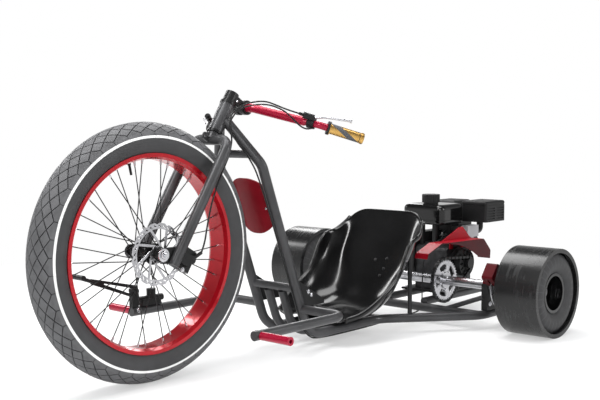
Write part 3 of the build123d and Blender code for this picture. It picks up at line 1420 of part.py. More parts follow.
# The lower cable lies in front of the left down tube, under its rail, and rises behind the rear cross tube
cable_off = TUBE_R + CABLE_GAP
down_tilt = atan2(bend_x - foot_x, bend_z - RAIL_Z)
cable_x = cable_off / cos(down_tilt)
low_z = RAIL_Z - cable_off
foot_turn = pi / 2 - down_tilt
foot_tangent = FOOT_BEND * tan(foot_turn / 2)
FOOT_STEPS = 3
foot_step = foot_turn / FOOT_STEPS
foot_reach = (FOOT_BEND + cable_off + 0.3) / cos(foot_step / 2)
foot_points = []
for index in range(FOOT_STEPS):
    angle = -down_tilt - foot_step * (index + 0.5)
    foot_points.append(
        (
            foot_x - foot_tangent + foot_reach * cos(angle),
            TUBE_Y,
            RAIL_Z + FOOT_BEND + foot_reach * sin(angle),
        )
    )
frame_points = [
    steer_at(-6, 43, 64),
    steer_at(-2, 42, 30),
    (bend_x + 61, TUBE_Y - 48, bend_z + 69),
    (bend_x + 42, TUBE_Y - 20, bend_z + 32),
    (tube_x(bend_z - 45) + cable_x + 2, TUBE_Y - 1, bend_z - 45),
    *foot_points,
    (seat_x(190), TUBE_Y, low_z - 0.5),
    (seat_x(250), TUBE_Y - 5, low_z - 0.2),
    (seat_x(310), TUBE_Y - 13, low_z - 1),
    (seat_x(375), TUBE_Y - 22, low_z - 3),
    (seat_x(440), TUBE_Y - 29, low_z - 4),
    (seat_x(500), TUBE_Y - 34, low_z - 3),
    (cross_x - 2, 60, 34),
    (cross_x - 18.5, 60, 43.5),
    (cross_x - 28, 60, 60.5),
    (aft(-27), 60.5, 130),
    (aft(-26), 62, 205),
    (aft(-14), 64, 245),
    (aft(14), 67, 275),
    (aft(56), 73, 296),
    (aft(104), 81, 311),
    (aft(155), 91, 319),
    (aft(CARB_FRONT) + 3 * JOINT_GAP, CARB_Y, CARB_Z),
]
save(cord(frame_points, CABLE_R), "frame_cable")
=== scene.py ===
import bpy
import bmesh
import json
from math import acos, cos, pi, radians, sin
from mathutils import Matrix, Vector


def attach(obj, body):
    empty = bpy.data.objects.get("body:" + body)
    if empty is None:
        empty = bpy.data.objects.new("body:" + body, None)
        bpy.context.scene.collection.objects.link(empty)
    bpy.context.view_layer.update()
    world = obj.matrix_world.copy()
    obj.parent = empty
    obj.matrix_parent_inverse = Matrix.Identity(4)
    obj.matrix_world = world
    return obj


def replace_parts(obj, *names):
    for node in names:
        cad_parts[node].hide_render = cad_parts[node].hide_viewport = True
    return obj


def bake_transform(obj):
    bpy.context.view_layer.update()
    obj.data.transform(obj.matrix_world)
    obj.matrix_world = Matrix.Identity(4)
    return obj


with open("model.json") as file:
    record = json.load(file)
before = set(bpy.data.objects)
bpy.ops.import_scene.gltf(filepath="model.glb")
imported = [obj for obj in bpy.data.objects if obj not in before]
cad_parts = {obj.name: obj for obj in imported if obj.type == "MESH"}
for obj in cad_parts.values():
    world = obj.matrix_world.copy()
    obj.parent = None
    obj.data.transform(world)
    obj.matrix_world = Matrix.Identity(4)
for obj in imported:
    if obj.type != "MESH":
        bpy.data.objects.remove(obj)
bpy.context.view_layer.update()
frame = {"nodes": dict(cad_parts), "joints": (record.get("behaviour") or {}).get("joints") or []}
nodes = frame["nodes"]
joint_place = {joint["name"]: Vector(joint["pos_m"]) for joint in frame["joints"]}

# Places on the trike, in metres
FRONT_AXLE = joint_place["front_spin"]
REAR_AXLE = joint_place["rear_spin"]
# Where the chain guard's side wall starts; the guard's red is painted darker beyond it as painted shade
GUARD_SHADED_WALL_Y = 0.174

# Front tyre: its section's circle, the tread's diamonds and the radii where stripe and worn rubber lie
TYRE_RING = 0.323
TYRE_SECTION = 0.052
TYRE_SKIN = 0.048
TYRE_WALL_SHARE = 0.16
BEAD_TURN = 134
TREAD_DEPTH = 0.0024
TREAD_BLOCKS = 46
GROOVE_HALF = 0.0015
TREAD_EDGE, SHOULDER_EDGE = radians(61), radians(82)
STRIPE_INNER, STRIPE_OUTER = 0.3295, 0.3363
WORN_START, WORN_FULL = 0.331, 0.336

# Rear tyres: raised ticks between two radii, and rings in the wall
TICK_COUNT = 30
TICK_INNER, TICK_OUTER = 0.098, 0.132
WALL_RING_PITCH = 0.0125

# Grips: the left one's line, and the places of its slanted band, flange and end seam along that line
GRIP_START = Vector((0.1849, 0.2619, 0.7331))
GRIP_AXIS = Vector((-0.7355, 0.6082, -0.2970))
GRIP_UP = Vector((-0.2287, 0.1891, 0.9548))
BAND_START, BAND_END = 0.034, 0.068
BAND_SLANT = 2.1
FLANGE_START, FLANGE_END = 0.0045, 0.0052
SEAM_START, SEAM_END = 0.1005, 0.1025


# Material helpers
def start_material(name):
    material = bpy.data.materials.new(name)
    material.use_nodes = True
    tree = material.node_tree
    return material, tree, tree.nodes["Principled BSDF"]


def add_node(tree, kind, **values):
    node = tree.nodes.new(kind)
    for key, value in values.items():
        setattr(node, key, value)
    return node


def feed(tree, socket, value):
    if isinstance(value, bpy.types.NodeSocket):
        tree.links.new(value, socket)
    else:
        socket.default_value = value


def object_coords(tree, scale=(1, 1, 1), centre=(0, 0, 0)):
    coords = add_node(tree, "ShaderNodeTexCoord")
    mapping = add_node(tree, "ShaderNodeMapping")
    mapping.inputs["Scale"].default_value = scale
    mapping.inputs["Location"].default_value = [-c * s for c, s in zip(centre, scale)]
    tree.links.new(coords.outputs["Object"], mapping.inputs["Vector"])
    return mapping.outputs["Vector"]


def noise(tree, vector, scale, detail=4.0, roughness=0.55):
    texture = add_node(tree, "ShaderNodeTexNoise")
    texture.inputs["Scale"].default_value = scale
    texture.inputs["Detail"].default_value = detail
    texture.inputs["Roughness"].default_value = roughness
    tree.links.new(vector, texture.inputs["Vector"])
    return texture.outputs["Fac"]


def ramp(tree, value, stops):
    node = add_node(tree, "ShaderNodeValToRGB")
    while len(node.color_ramp.elements) < len(stops):
        node.color_ramp.elements.new(0.5)
    for element, (place, colour) in zip(node.color_ramp.elements, stops):
        element.position = place
        element.color = (*colour, 1.0)
    tree.links.new(value, node.inputs["Fac"])
    return node.outputs["Color"]


def remap(tree, value, low, high, to_low=0.0, to_high=1.0):
    node = add_node(tree, "ShaderNodeMapRange")
    for key, number in (("From Min", low), ("From Max", high), ("To Min", to_low), ("To Max", to_high)):
        node.inputs[key].default_value = number
    tree.links.new(value, node.inputs["Value"])
    return node.outputs["Result"]


def calc(tree, operation, a, b=0.0):
    node = add_node(tree, "ShaderNodeMath", operation=operation)
    feed(tree, node.inputs[0], a)
    feed(tree, node.inputs[1], b)
    return node.outputs[0]


def vector_math(tree, operation, a, b=(0, 0, 0), output="Vector"):
    node = add_node(tree, "ShaderNodeVectorMath", operation=operation)
    feed(tree, node.inputs[0], a)
    feed(tree, node.inputs[1], b)
    return node.outputs[output]


def blend_colours(tree, factor, a, b):
    node = add_node(tree, "ShaderNodeMix", data_type="RGBA")
    feed(tree, node.inputs[0], factor)
    feed(tree, node.inputs[6], a)
    feed(tree, node.inputs[7], b)
    return node.outputs[2]


def between(tree, value, low, high, soft):
    rise = remap(tree, value, low - soft, low + soft)
    fall = remap(tree, value, high - soft, high + soft, 1.0, 0.0)
    return calc(tree, "MULTIPLY", rise, fall)


def wheel_radius(tree, axle):
    flat = vector_math(tree, "MULTIPLY", object_coords(tree, centre=axle), (1, 0, 1))
    return vector_math(tree, "LENGTH", flat, output="Value")


def bump(tree, shader, height, strength, distance=0.0004):
    node = add_node(tree, "ShaderNodeBump")
    node.inputs["Strength"].default_value = strength
    node.inputs["Distance"].default_value = distance
    tree.links.new(height, node.inputs["Height"])
    tree.links.new(node.outputs["Normal"], shader.inputs["Normal"])


# Finishes
def painted(
    name, dark, light, metallic, rough, grain, strength, coat=0.0, scale=9.0, shine=0.5, stretch=(1, 1, 1)
):
    material, tree, shader = start_material(name)
    vector = object_coords(tree, stretch)
    broad = noise(tree, vector, scale, 5.0)
    fine = noise(tree, vector, grain, 2.0)
    tree.links.new(ramp(tree, broad, [(0.3, dark), (0.7, light)]), shader.inputs["Base Color"])
    tree.links.new(remap(tree, broad, 0.3, 0.7, *rough), shader.inputs["Roughness"])
    shader.inputs["Metallic"].default_value = metallic
    shader.inputs["Specular IOR Level"].default_value = shine
    shader.inputs["Coat Weight"].default_value = coat
    shader.inputs["Coat Roughness"].default_value = 0.05
    bump(tree, shader, fine, strength)
    return material


def grey(level):
    return (level, level, level * 1.04)


graphite = painted("graphite_satin", grey(0.048), grey(0.075), 0.45, (0.32, 0.42), 1400, 0.16, shine=0.3)
black_satin = painted("black_satin", grey(0.007), grey(0.014), 0.0, (0.30, 0.44), 900, 0.12, shine=0.22)
black_gloss = painted("black_gloss", grey(0.003), grey(0.006), 0.0, (0.05, 0.11), 300, 0.03, shine=0.45)
red_gloss = painted(
    "red_gloss", (0.28, 0.003, 0.022), (0.35, 0.005, 0.032), 0.25, (0.16, 0.24), 300, 0.015,
    coat=0.25, shine=0.25,
)
rim_red = painted(
    "rim_red", (0.34, 0.004, 0.010), (0.44, 0.008, 0.016), 0.35, (0.14, 0.22), 300, 0.02, coat=0.3, shine=0.25
)
panel_red = painted(
    "panel_red", (0.15, 0.002, 0.007), (0.21, 0.004, 0.011), 0.0, (0.34, 0.46), 500, 0.05, shine=0.15
)
# Rear caliper: red darkened with painted shade, for the shadow it sits in behind the sleeve
shaded_caliper_red = painted(
    "shaded_caliper_red", (0.05, 0.002, 0.004), (0.08, 0.003, 0.006), 0.1, (0.30, 0.42), 700, 0.08, shine=0.15
)
seat_shell = painted(
    "seat_shell", grey(0.003), grey(0.006), 0.0, (0.10, 0.19), 160, 0.05, scale=7.0, shine=0.4
)
steel = painted("bright_steel", grey(0.52), grey(0.68), 1.0, (0.16, 0.30), 900, 0.06)
turned_steel = painted(
    "turned_steel", grey(0.50), grey(0.66), 1.0, (0.22, 0.36), 260, 0.10, stretch=(6, 0.4, 6)
)
disc_steel = painted("disc_steel", grey(0.36), grey(0.52), 1.0, (0.2, 0.34), 500, 0.12, scale=40.0)
dark_steel = painted("dark_steel", grey(0.012), grey(0.036), 0.5, (0.3, 0.45), 900, 0.10, shine=0.25)
alloy = painted("cast_alloy", grey(0.30), grey(0.46), 0.8, (0.34, 0.5), 700, 0.45)
engine_grey = painted(
    "engine_grey", grey(0.020), grey(0.060), 0.6, (0.32, 0.5), 700, 0.5, scale=30.0, shine=0.25
)
cast_black = painted("cast_black", grey(0.008), grey(0.020), 0.1, (0.40, 0.55), 700, 0.5, shine=0.25)
moulded = painted("moulded_plastic", grey(0.006), grey(0.012), 0.0, (0.36, 0.48), 1100, 0.35, shine=0.22)
cable_skin = painted("cable_skin", grey(0.007), grey(0.013), 0.0, (0.30, 0.42), 1500, 0.1, shine=0.3)
spoke_black = painted("spoke_black", grey(0.007), grey(0.016), 0.3, (0.3, 0.42), 900, 0.08, shine=0.25)


def make_front_rubber():
    material, tree, shader = start_material("front_tyre_rubber")
    vector = object_coords(tree, centre=FRONT_AXLE)
    radius = wheel_radius(tree, FRONT_AXLE)
    parts = add_node(tree, "ShaderNodeSeparateXYZ")
    tree.links.new(vector, parts.inputs[0])
    across = add_node(tree, "ShaderNodeCombineXYZ")
    tree.links.new(calc(tree, "SUBTRACT", radius, TYRE_RING), across.inputs["X"])
    tree.links.new(parts.outputs["Y"], across.inputs["Y"])
    depth = vector_math(tree, "LENGTH", across.outputs[0], output="Value")
    fine = noise(tree, vector, 1400, 2.0)
    broad = noise(tree, vector, 26, 6.0)
    worn = ramp(tree, broad, [(0.3, grey(0.082)), (0.7, grey(0.120))])
    wall = ramp(tree, broad, [(0.3, grey(0.036)), (0.7, grey(0.050))])
    rubber_colour = blend_colours(tree, remap(tree, radius, WORN_START, WORN_FULL), wall, worn)
    # Groove bottoms get near-black rubber: painted shade in the tread's grooves
    low = remap(tree, depth, TYRE_SECTION - TREAD_DEPTH, TYRE_SECTION - 0.0004)
    rubber_with_groove_shade = blend_colours(tree, low, (0.012, 0.012, 0.013, 1), rubber_colour)
    stripe = between(tree, radius, STRIPE_INNER, STRIPE_OUTER, 0.0004)
    pale = ramp(tree, broad, [(0.3, (0.80, 0.80, 0.79)), (0.7, (0.90, 0.90, 0.89))])
    tree.links.new(blend_colours(tree, stripe, rubber_with_groove_shade, pale), shader.inputs["Base Color"])
    tree.links.new(remap(tree, broad, 0.3, 0.7, 0.52, 0.68), shader.inputs["Roughness"])
    shader.inputs["Specular IOR Level"].default_value = 0.35
    bump(tree, shader, fine, 0.3)
    return material


def make_rear_rubber():
    material, tree, shader = start_material("rear_tyre_rubber")
    vector = object_coords(tree, centre=REAR_AXLE)
    radius = wheel_radius(tree, REAR_AXLE)
    spin = add_node(tree, "ShaderNodeTexGradient", gradient_type="RADIAL")
    swap = add_node(tree, "ShaderNodeVectorRotate", rotation_type="X_AXIS")
    swap.inputs["Angle"].default_value = pi / 2
    tree.links.new(vector, swap.inputs["Vector"])
    tree.links.new(swap.outputs[0], spin.inputs["Vector"])
    ticks = calc(tree, "SINE", calc(tree, "MULTIPLY", spin.outputs["Fac"], 2 * pi * TICK_COUNT))
    ring = between(tree, radius, TICK_INNER, TICK_OUTER, 0.006)
    marks = calc(tree, "MULTIPLY", remap(tree, ticks, 0.86, 0.98), ring)
    rings = calc(tree, "SINE", calc(tree, "MULTIPLY", radius, 2 * pi / WALL_RING_PITCH))
    broad = noise(tree, vector, 34, 6.0)
    plain = ramp(tree, broad, [(0.3, grey(0.024)), (0.7, grey(0.044))])
    tree.links.new(blend_colours(tree, marks, plain, (0.055, 0.055, 0.058, 1)), shader.inputs["Base Color"])
    tree.links.new(remap(tree, broad, 0.3, 0.7, 0.5, 0.68), shader.inputs["Roughness"])
    shader.inputs["Specular IOR Level"].default_value = 0.35
    raised = calc(tree, "ADD", marks, remap(tree, rings, 0.8, 1.0, 0.0, 0.6))
    bump(tree, shader, raised, 0.3, 0.0010)
    return material


def make_sleeve_plastic():
    material, tree, shader = start_material("sleeve_plastic")
    vector = object_coords(tree)
    streaks = object_coords(tree, (1.0, 7.0, 1.0))
    mottle = noise(tree, vector, 13, 3.0, 0.5)
    scuffs = noise(tree, streaks, 14, 3.0, 0.5)
    worn = remap(tree, calc(tree, "MULTIPLY", mottle, scuffs), 0.25, 0.42)
    tree.links.new(ramp(tree, worn, [(0.0, grey(0.007)), (1.0, grey(0.022))]), shader.inputs["Base Color"])
    tree.links.new(remap(tree, worn, 0.0, 1.0, 0.25, 0.38), shader.inputs["Roughness"])
    shader.inputs["Specular IOR Level"].default_value = 0.4
    bump(tree, shader, scuffs, 0.02, 0.0004)
    return material


def make_guard_red():
    material, tree, shader = start_material("guard_red")
    vector = object_coords(tree)
    parts = add_node(tree, "ShaderNodeSeparateXYZ")
    tree.links.new(vector, parts.inputs[0])
    # The guard's side wall gets a dark copy of its red as painted shade, and the top keeps the lighter red as
    # the lit face
    wall = remap(tree, parts.outputs["Y"], GUARD_SHADED_WALL_Y - 0.0005, GUARD_SHADED_WALL_Y + 0.0005)
    broad = noise(tree, vector, 14, 5.0)
    lit_guard_red = ramp(tree, broad, [(0.3, (0.25, 0.003, 0.010)), (0.7, (0.32, 0.005, 0.014))])
    shaded_guard_red = ramp(tree, broad, [(0.3, (0.040, 0.002, 0.004)), (0.7, (0.065, 0.003, 0.005))])
    tree.links.new(blend_colours(tree, wall, lit_guard_red, shaded_guard_red), shader.inputs["Base Color"])
    tree.links.new(remap(tree, broad, 0.3, 0.7, 0.32, 0.44), shader.inputs["Roughness"])
    shader.inputs["Specular IOR Level"].default_value = 0.15
    bump(tree, shader, noise(tree, vector, 700, 2.0), 0.05)
    return material


def make_grip_gold():
    material, tree, shader = start_material("gold_grip")
    mirrored = vector_math(tree, "ABSOLUTE", object_coords(tree))
    from_start = vector_math(tree, "SUBTRACT", mirrored, tuple(GRIP_START))
    along = vector_math(tree, "DOT_PRODUCT", from_start, tuple(GRIP_AXIS), "Value")
    rise = vector_math(tree, "DOT_PRODUCT", from_start, tuple(GRIP_UP), "Value")
    slant = calc(tree, "ADD", along, calc(tree, "MULTIPLY", rise, BAND_SLANT))
    band = between(tree, slant, BAND_START, BAND_END, 0.0006)
    flange = remap(tree, along, FLANGE_START, FLANGE_END, 1.0, 0.0)
    seam = between(tree, along, SEAM_START, SEAM_END, 0.0003)
    dark = calc(tree, "MAXIMUM", calc(tree, "MAXIMUM", band, flange), seam)
    fine = noise(tree, object_coords(tree), 1200, 2.0)
    broad = noise(tree, object_coords(tree), 60, 4.0)
    gold = ramp(tree, broad, [(0.3, (0.52, 0.30, 0.080)), (0.7, (0.64, 0.40, 0.125))])
    band_colour = blend_colours(tree, band, (0.008, 0.008, 0.008, 1), (0.075, 0.078, 0.085, 1))
    tree.links.new(blend_colours(tree, dark, gold, band_colour), shader.inputs["Base Color"])
    tree.links.new(remap(tree, dark, 0, 1, 0.85, 0.0), shader.inputs["Metallic"])
    tree.links.new(remap(tree, dark, 0, 1, 0.26, 0.6), shader.inputs["Roughness"])
    shader.inputs["Specular IOR Level"].default_value = 0.35
    bump(tree, shader, fine, 0.1)
    return material


front_rubber = make_front_rubber()
rear_rubber = make_rear_rubber()
sleeve = make_sleeve_plastic()
gold_grip = make_grip_gold()
guard_red = make_guard_red()

finish_of = {
    "head_tube": graphite, "left_main_tube": graphite, "right_main_tube": graphite, "cross_tubes": graphite,
    "floor_bars": graphite, "left_peg_arm": graphite, "right_peg_arm": graphite, "fork": graphite,
    "engine_bed": graphite, "axle_braces": graphite,
    "foot_pegs": red_gloss, "front_panel": panel_red, "rear_caliper": shaded_caliper_red, "chain_guard": guard_red,
    "handlebar": red_gloss, "front_rim": rim_red,
    "front_tyre": front_rubber, "rear_tyres": rear_rubber, "drift_sleeves": sleeve, "seat": seat_shell,
    "seat_stays": dark_steel, "grips": gold_grip, "front_spokes": spoke_black,
    "fuel_cap": moulded, "air_filter": moulded, "intake_elbow": moulded, "fuel_tank": black_gloss,
    "front_brake_cable": cable_skin, "bar_cable": cable_skin, "frame_cable": cable_skin,
    "front_rotor": disc_steel, "rear_disc": disc_steel, "front_spindle": steel, "axle_bearings": steel,
    "brake_levers": steel, "rear_sprocket": disc_steel, "rear_shaft": turned_steel, "chain": dark_steel,
    "crankcase": engine_grey, "cylinder": engine_grey, "carburettor": alloy, "clutch": cast_black,
    "fan_cowl": moulded, "rear_rims": black_gloss, "muffler": cast_black,
}
for name, thing in nodes.items():
    thing.data.materials.clear()
    thing.data.materials.append(finish_of.get(name, black_satin))


# Pieces
def unique(items):
    return list(dict.fromkeys(items))


def finish_piece(name, shape, finish, body, sharp=35.0):
    mesh = bpy.data.meshes.new(name)
    shape.to_mesh(mesh)
    shape.free()
    mesh.materials.append(finish)
    mesh.shade_smooth()
    mesh.set_sharp_from_angle(angle=radians(sharp))
    thing = bpy.data.objects.new(name, mesh)
    bpy.context.scene.collection.objects.link(thing)
    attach(thing, body)
    return thing


# Turns of the tyre's section from bead to bead in degrees, with steps: wall, shoulder, tread, shoulder, wall
SECTION_TURNS = [(52, 5), (20, 1), (124, 4), (20, 1), (52, 5)]


def make_front_tyre():
    shape = bmesh.new()
    ring = FRONT_AXLE + Vector((0, 0, TYRE_RING))
    lean = Matrix.Rotation(radians(-BEAD_TURN), 3, "X")
    tip = shape.verts.new(ring + lean @ Vector((0, 0, TYRE_SECTION)))
    for turn, steps in SECTION_TURNS:
        made = bmesh.ops.spin(
            shape, geom=[tip], axis=(1, 0, 0), cent=ring, angle=radians(turn), steps=steps, use_merge=False
        )
        tip = next(item for item in made["geom_last"] if isinstance(item, bmesh.types.BMVert))
    inner = shape.verts.new(tip.co.lerp(ring, TYRE_WALL_SHARE))
    shape.edges.new((tip, inner))
    made = bmesh.ops.spin(
        shape, geom=[inner], axis=(1, 0, 0), cent=ring, angle=radians(-2 * BEAD_TURN), steps=8,
        use_merge=False,
    )
    last = next(item for item in made["geom_last"] if isinstance(item, bmesh.types.BMVert))
    shape.verts.ensure_lookup_table()
    shape.edges.new((last, shape.verts[0]))
    outline = shape.verts[:] + shape.edges[:]
    bmesh.ops.spin(
        shape, geom=outline, axis=(0, 1, 0), cent=FRONT_AXLE, angle=2 * pi, steps=TREAD_BLOCKS, use_merge=True
    )
    bmesh.ops.recalc_face_normals(shape, faces=shape.faces[:])

    def lean_of(place):
        flat = Vector((place.x - FRONT_AXLE.x, 0, place.z - FRONT_AXLE.z))
        return Vector((flat.length - TYRE_RING, place.y))

    def outer(item, low, high):
        spot = lean_of(item.calc_center_median())
        return spot.length > TYRE_SKIN and low < abs(spot.angle_signed(Vector((1, 0)))) < high

    tread = [face for face in shape.faces if outer(face, -1, TREAD_EDGE)]
    rows = set(tread) | {face for face in shape.faces if outer(face, TREAD_EDGE, SHOULDER_EDGE)}
    tread_edges = unique(edge for face in tread for edge in face.edges)
    grid_edges = [edge for edge in tread_edges if all(face in rows for face in edge.link_faces)]
    poked = bmesh.ops.poke(shape, faces=tread)
    low_verts = set(poked["verts"]) | {vert for edge in grid_edges for vert in edge.verts}
    bmesh.ops.dissolve_edges(shape, edges=grid_edges, use_verts=False)
    blocks = [face for face in shape.faces if any(vert in low_verts for vert in face.verts)]
    bmesh.ops.inset_individual(shape, faces=blocks, thickness=GROOVE_HALF, depth=0.0, use_even_offset=True)
    bmesh.ops.poke(shape, faces=blocks)
    for vert in shape.verts:
        spot = lean_of(vert.co)
        if spot.length < TYRE_SKIN:
            continue
        out = Vector((vert.co.x - FRONT_AXLE.x, 0, vert.co.z - FRONT_AXLE.z)).normalized()
        way = out * spot.x / spot.length + Vector((0, spot.y / spot.length, 0))
        level = TYRE_SECTION - (TREAD_DEPTH if vert in low_verts else 0.0)
        vert.co = vert.co + way * (level - spot.length)
    return finish_piece("front_tyre_tread", shape, front_rubber, "front_wheel", 28.0)


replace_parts(make_front_tyre(), "front_tyre")


# Seat rows from the front lip to the top of the back, in millimetres:
# middle x and z, wing top x and z, half width, height of the hump, corner radius
SEAT_ROWS = [
    (-18.5, 77, -18.5, 88, 194, 54, 92), (-23, 83, -23, 97, 194, 60, 92),
    (-42, 80, -43, 100, 196, 58, 92), (-75, 77, -77, 110, 198, 46, 92),
    (-130, 75.5, -130, 141, 199, 25, 100), (-187, 77.5, -185, 176, 200, 6, 118),
    (-240, 90, -222, 200, 200, 0, 128), (-283, 119, -248, 224, 200, 0, 128),
    (-316, 164, -268, 258, 200, 0, 122), (-345, 213, -287, 296, 200, 0, 96),
    (-372, 264, -308, 328, 200, 0, 72), (-398, 315, -336, 341, 200, 0, 72),
    (-420, 357, -368, 345, 199, 0, 78), (-438, 393, -396, 358, 192, 0, 83),
    (-452, 420, -425, 387, 178, 0, 83), (-457, 430, -432, 396, 179, 0, 83),
    (-464, 427, -441, 393, 183, 0, 83),
]
# The rolled lip as steps out and up
SEAT_LIP = [(2.0, 4.0), (8.0, 6.0), (13.0, 1.0), (13.0, -10.0)]


def seat_row(mid_x, mid_z, top_x, top_z, half, hump, corner):
    middle = Vector((mid_x, 0, mid_z))
    wing = Vector((top_x, 0, top_z)) - middle
    tall = wing.length
    flat = half - corner
    sweep = acos(max(0.0, 1 - tall / corner))
    straight = max(0.0, tall - corner)
    spots = []
    for share in (0, 0.35, 0.7, 1):
        spots.append(middle + Vector((0, share * flat, hump * max(0.0, 1 - share / 0.9))))
    for step in (0.2, 0.4, 0.6, 0.8, 1.0):
        run = step * (corner * sweep + straight)
        turn = min(run / corner, sweep)
        depth = corner * (1 - cos(turn)) + max(0.0, run - corner * sweep)
        spots.append(middle + wing * (depth / tall) + Vector((0, flat + corner * sin(turn), 0)))
    wing_top = spots[-1]
    for out, up in SEAT_LIP:
        spots.append(wing_top + Vector((0, out, up)))
    return spots


def make_seat():
    shape = bmesh.new()
    before = []
    for numbers in SEAT_ROWS:
        row = [shape.verts.new(spot / 1000) for spot in seat_row(*numbers)]
        edges = [shape.edges.new(pair) for pair in zip(row, row[1:])]
        if before:
            bmesh.ops.bridge_loops(shape, edges=before + edges)
        before = edges
    half = shape.verts[:] + shape.edges[:] + shape.faces[:]
    bmesh.ops.mirror(shape, geom=half, axis="Y", merge_dist=0.0001)
    bmesh.ops.recalc_face_normals(shape, faces=shape.faces[:])
    if sum(face.normal.z * face.calc_area() for face in shape.faces) < 0:
        bmesh.ops.reverse_faces(shape, faces=shape.faces[:])
    thing = finish_piece("bucket_seat", shape, seat_shell, "frame", 180.0)
    wall = thing.modifiers.new("wall", "SOLIDIFY")
    wall.thickness = 0.0035
    wall.offset = -1.0
    rounding = thing.modifiers.new("rounding", "SUBSURF")
    rounding.levels = rounding.render_levels = 2
    return thing


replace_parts(make_seat(), "seat")


def facing(place, way):
    return Matrix.Translation(place) @ Vector(way).to_track_quat("Z", "Y").to_matrix().to_4x4()


def add_bolt(shape, place, way, radius, height, sides=6, dome=0.25):
    place, way = Vector(place) / 1000, Vector(way).normalized()
    radius, height = radius / 1000, height / 1000
    if sides == 6:
        bmesh.ops.create_cone(
            shape, cap_ends=True, segments=16, radius1=radius * 1.5, radius2=radius * 1.45, depth=0.0016,
            matrix=facing(place + way * 0.0006, way),
        )
    made = bmesh.ops.create_cone(
        shape, cap_ends=True, segments=sides, radius1=radius, radius2=radius, depth=height + 0.001,
        matrix=facing(place + way * (height / 2 - 0.0005), way),
    )
    top = [vert for vert in made["verts"] if (vert.co - place).dot(way) > height * 0.8]
    edges = unique(edge for vert in top for edge in vert.link_edges if all(end in top for end in edge.verts))
    bmesh.ops.bevel(
        shape, geom=edges, offset=dome * radius, segments=3, profile=0.5, affect="EDGES", material=-1,
        clamp_overlap=True,
    )


def bolt_set(name, body, finish, rows):
    shape = bmesh.new()
    for row in rows:
        add_bolt(shape, *row)
    return finish_piece(name, shape, finish, body)


def bolt_circle(axle, y, radius, start, count):
    spots = []
    for index in range(count):
        turn = start + 2 * pi / count * index
        spots.append((axle.x + radius * cos(turn), y, axle.z + radius * sin(turn)))
    return spots


# Bolt rows in millimetres: place, the way the head faces, radius and height
# A round head adds its sides and its dome, and a bolt without them is a hexagon on a washer
left, right = (0, 1, 0), (0, -1, 0)
ROUND_HEAD, BUTTON_HEAD, CAP_HEAD = (14, 0.55), (12, 0.4), (14, 0.3)
front_axle, rear_axle = FRONT_AXLE * 1000, REAR_AXLE * 1000

seat_way = (0.89, 0, 0.45)
seat_places = [(-364.9, 9.6, 249.5), (-368.5, 61.0, 256.5), (-350.7, 59.7, 221.8), (-336.0, 52.8, 197.4)]
seat_bolts = [(place, seat_way, 6.5, 3.6, *ROUND_HEAD) for place in seat_places]
bolt_set("seat_bolts", "frame", dark_steel, seat_bolts)

frame_bolts = [
    ((251.2, 60.2, 480), (0.89, 0.31, -0.33), 4.0, 2.0, *ROUND_HEAD),
    ((251.2, -60.2, 480), (0.89, -0.31, -0.33), 4.0, 2.0, *ROUND_HEAD),
    ((500.4, -266.6, 152.5), (0, 0.9, 0.43), 6.0, 5.0),
    ((500.4, 266.6, 152.5), (0, -0.9, 0.43), 6.0, 5.0),
    ((-860, 95, 112), left, 5.5, 5.0),
    ((-790, 95, 112), left, 5.5, 5.0),
]
for side, way in ((1, left), (-1, right)):
    for x, z in ((98.7, 200), (84.7, 188.6)):
        frame_bolts.append(((x, side * 99.5, z), way, 4.6, 3.6))
    for x, z in ((-595, 94), (-639, 94), (-645, 191)):
        frame_bolts.append(((x, side * 362, z), way, 6.0, 5.0))
    for x in (-935, -690):
        frame_bolts.append(((x, side * 90, 98), (0, 0, 1), 6.5, 6.0))
head_way = Vector((-0.91, 0, 0.42))
for y in (-12, 52):
    frame_bolts.append(((-958.2, y, 300), head_way, 6.0, 5.0))
bolt_set("frame_bolts", "frame", steel, frame_bolts)

steering_bolts = [
    ((front_axle.x, 77, front_axle.z), left, 13.0, 8.0),
    ((front_axle.x, -77, front_axle.z), right, 13.0, 8.0),
    ((600, 69, 325), left, 4.5, 4.0),
    ((335, 19.4, 815), left, 4.2, 4.0, *CAP_HEAD),
    ((335, -19.4, 815), right, 4.2, 4.0, *CAP_HEAD),
]
bolt_set("steering_bolts", "steering", steel, steering_bolts)

rotor_bolts = [(spot, left, 3.4, 2.6, *BUTTON_HEAD) for spot in bolt_circle(front_axle, 52, 22, 0.0, 6)]
bolt_set("rotor_bolts", "front_wheel", dark_steel, rotor_bolts)

axle_bolts = [(spot, left, 4.4, 4.0) for spot in bolt_circle(rear_axle, 150, 35, pi / 2 + pi / 5, 5)]
for side, way in ((1, left), (-1, right)):
    axle_bolts.append(((rear_axle.x, side * 554.5, rear_axle.z), way, 25.0, 13.0))
    for spot in bolt_circle(rear_axle, side * 546.5, 42, pi / 4, 4):
        axle_bolts.append((spot, way, 7.5, 9.0))
bolt_set("axle_bolts", "rear_axle", steel, axle_bolts)


# Bright nipples where the spokes enter the rim, two to a side and then turned round the wheel
SPOKE_PITCH = 20
SPOKE_SWING = 48
SPOKE_FOOT_RADIUS, SPOKE_FOOT_Y, SPOKE_OFFSET = 0.027, 0.031, 0.0036
SPOKE_TIP_RADIUS, SPOKE_TIP_Y = 0.2695, 0.012
NIPPLE_LENGTH = 0.014


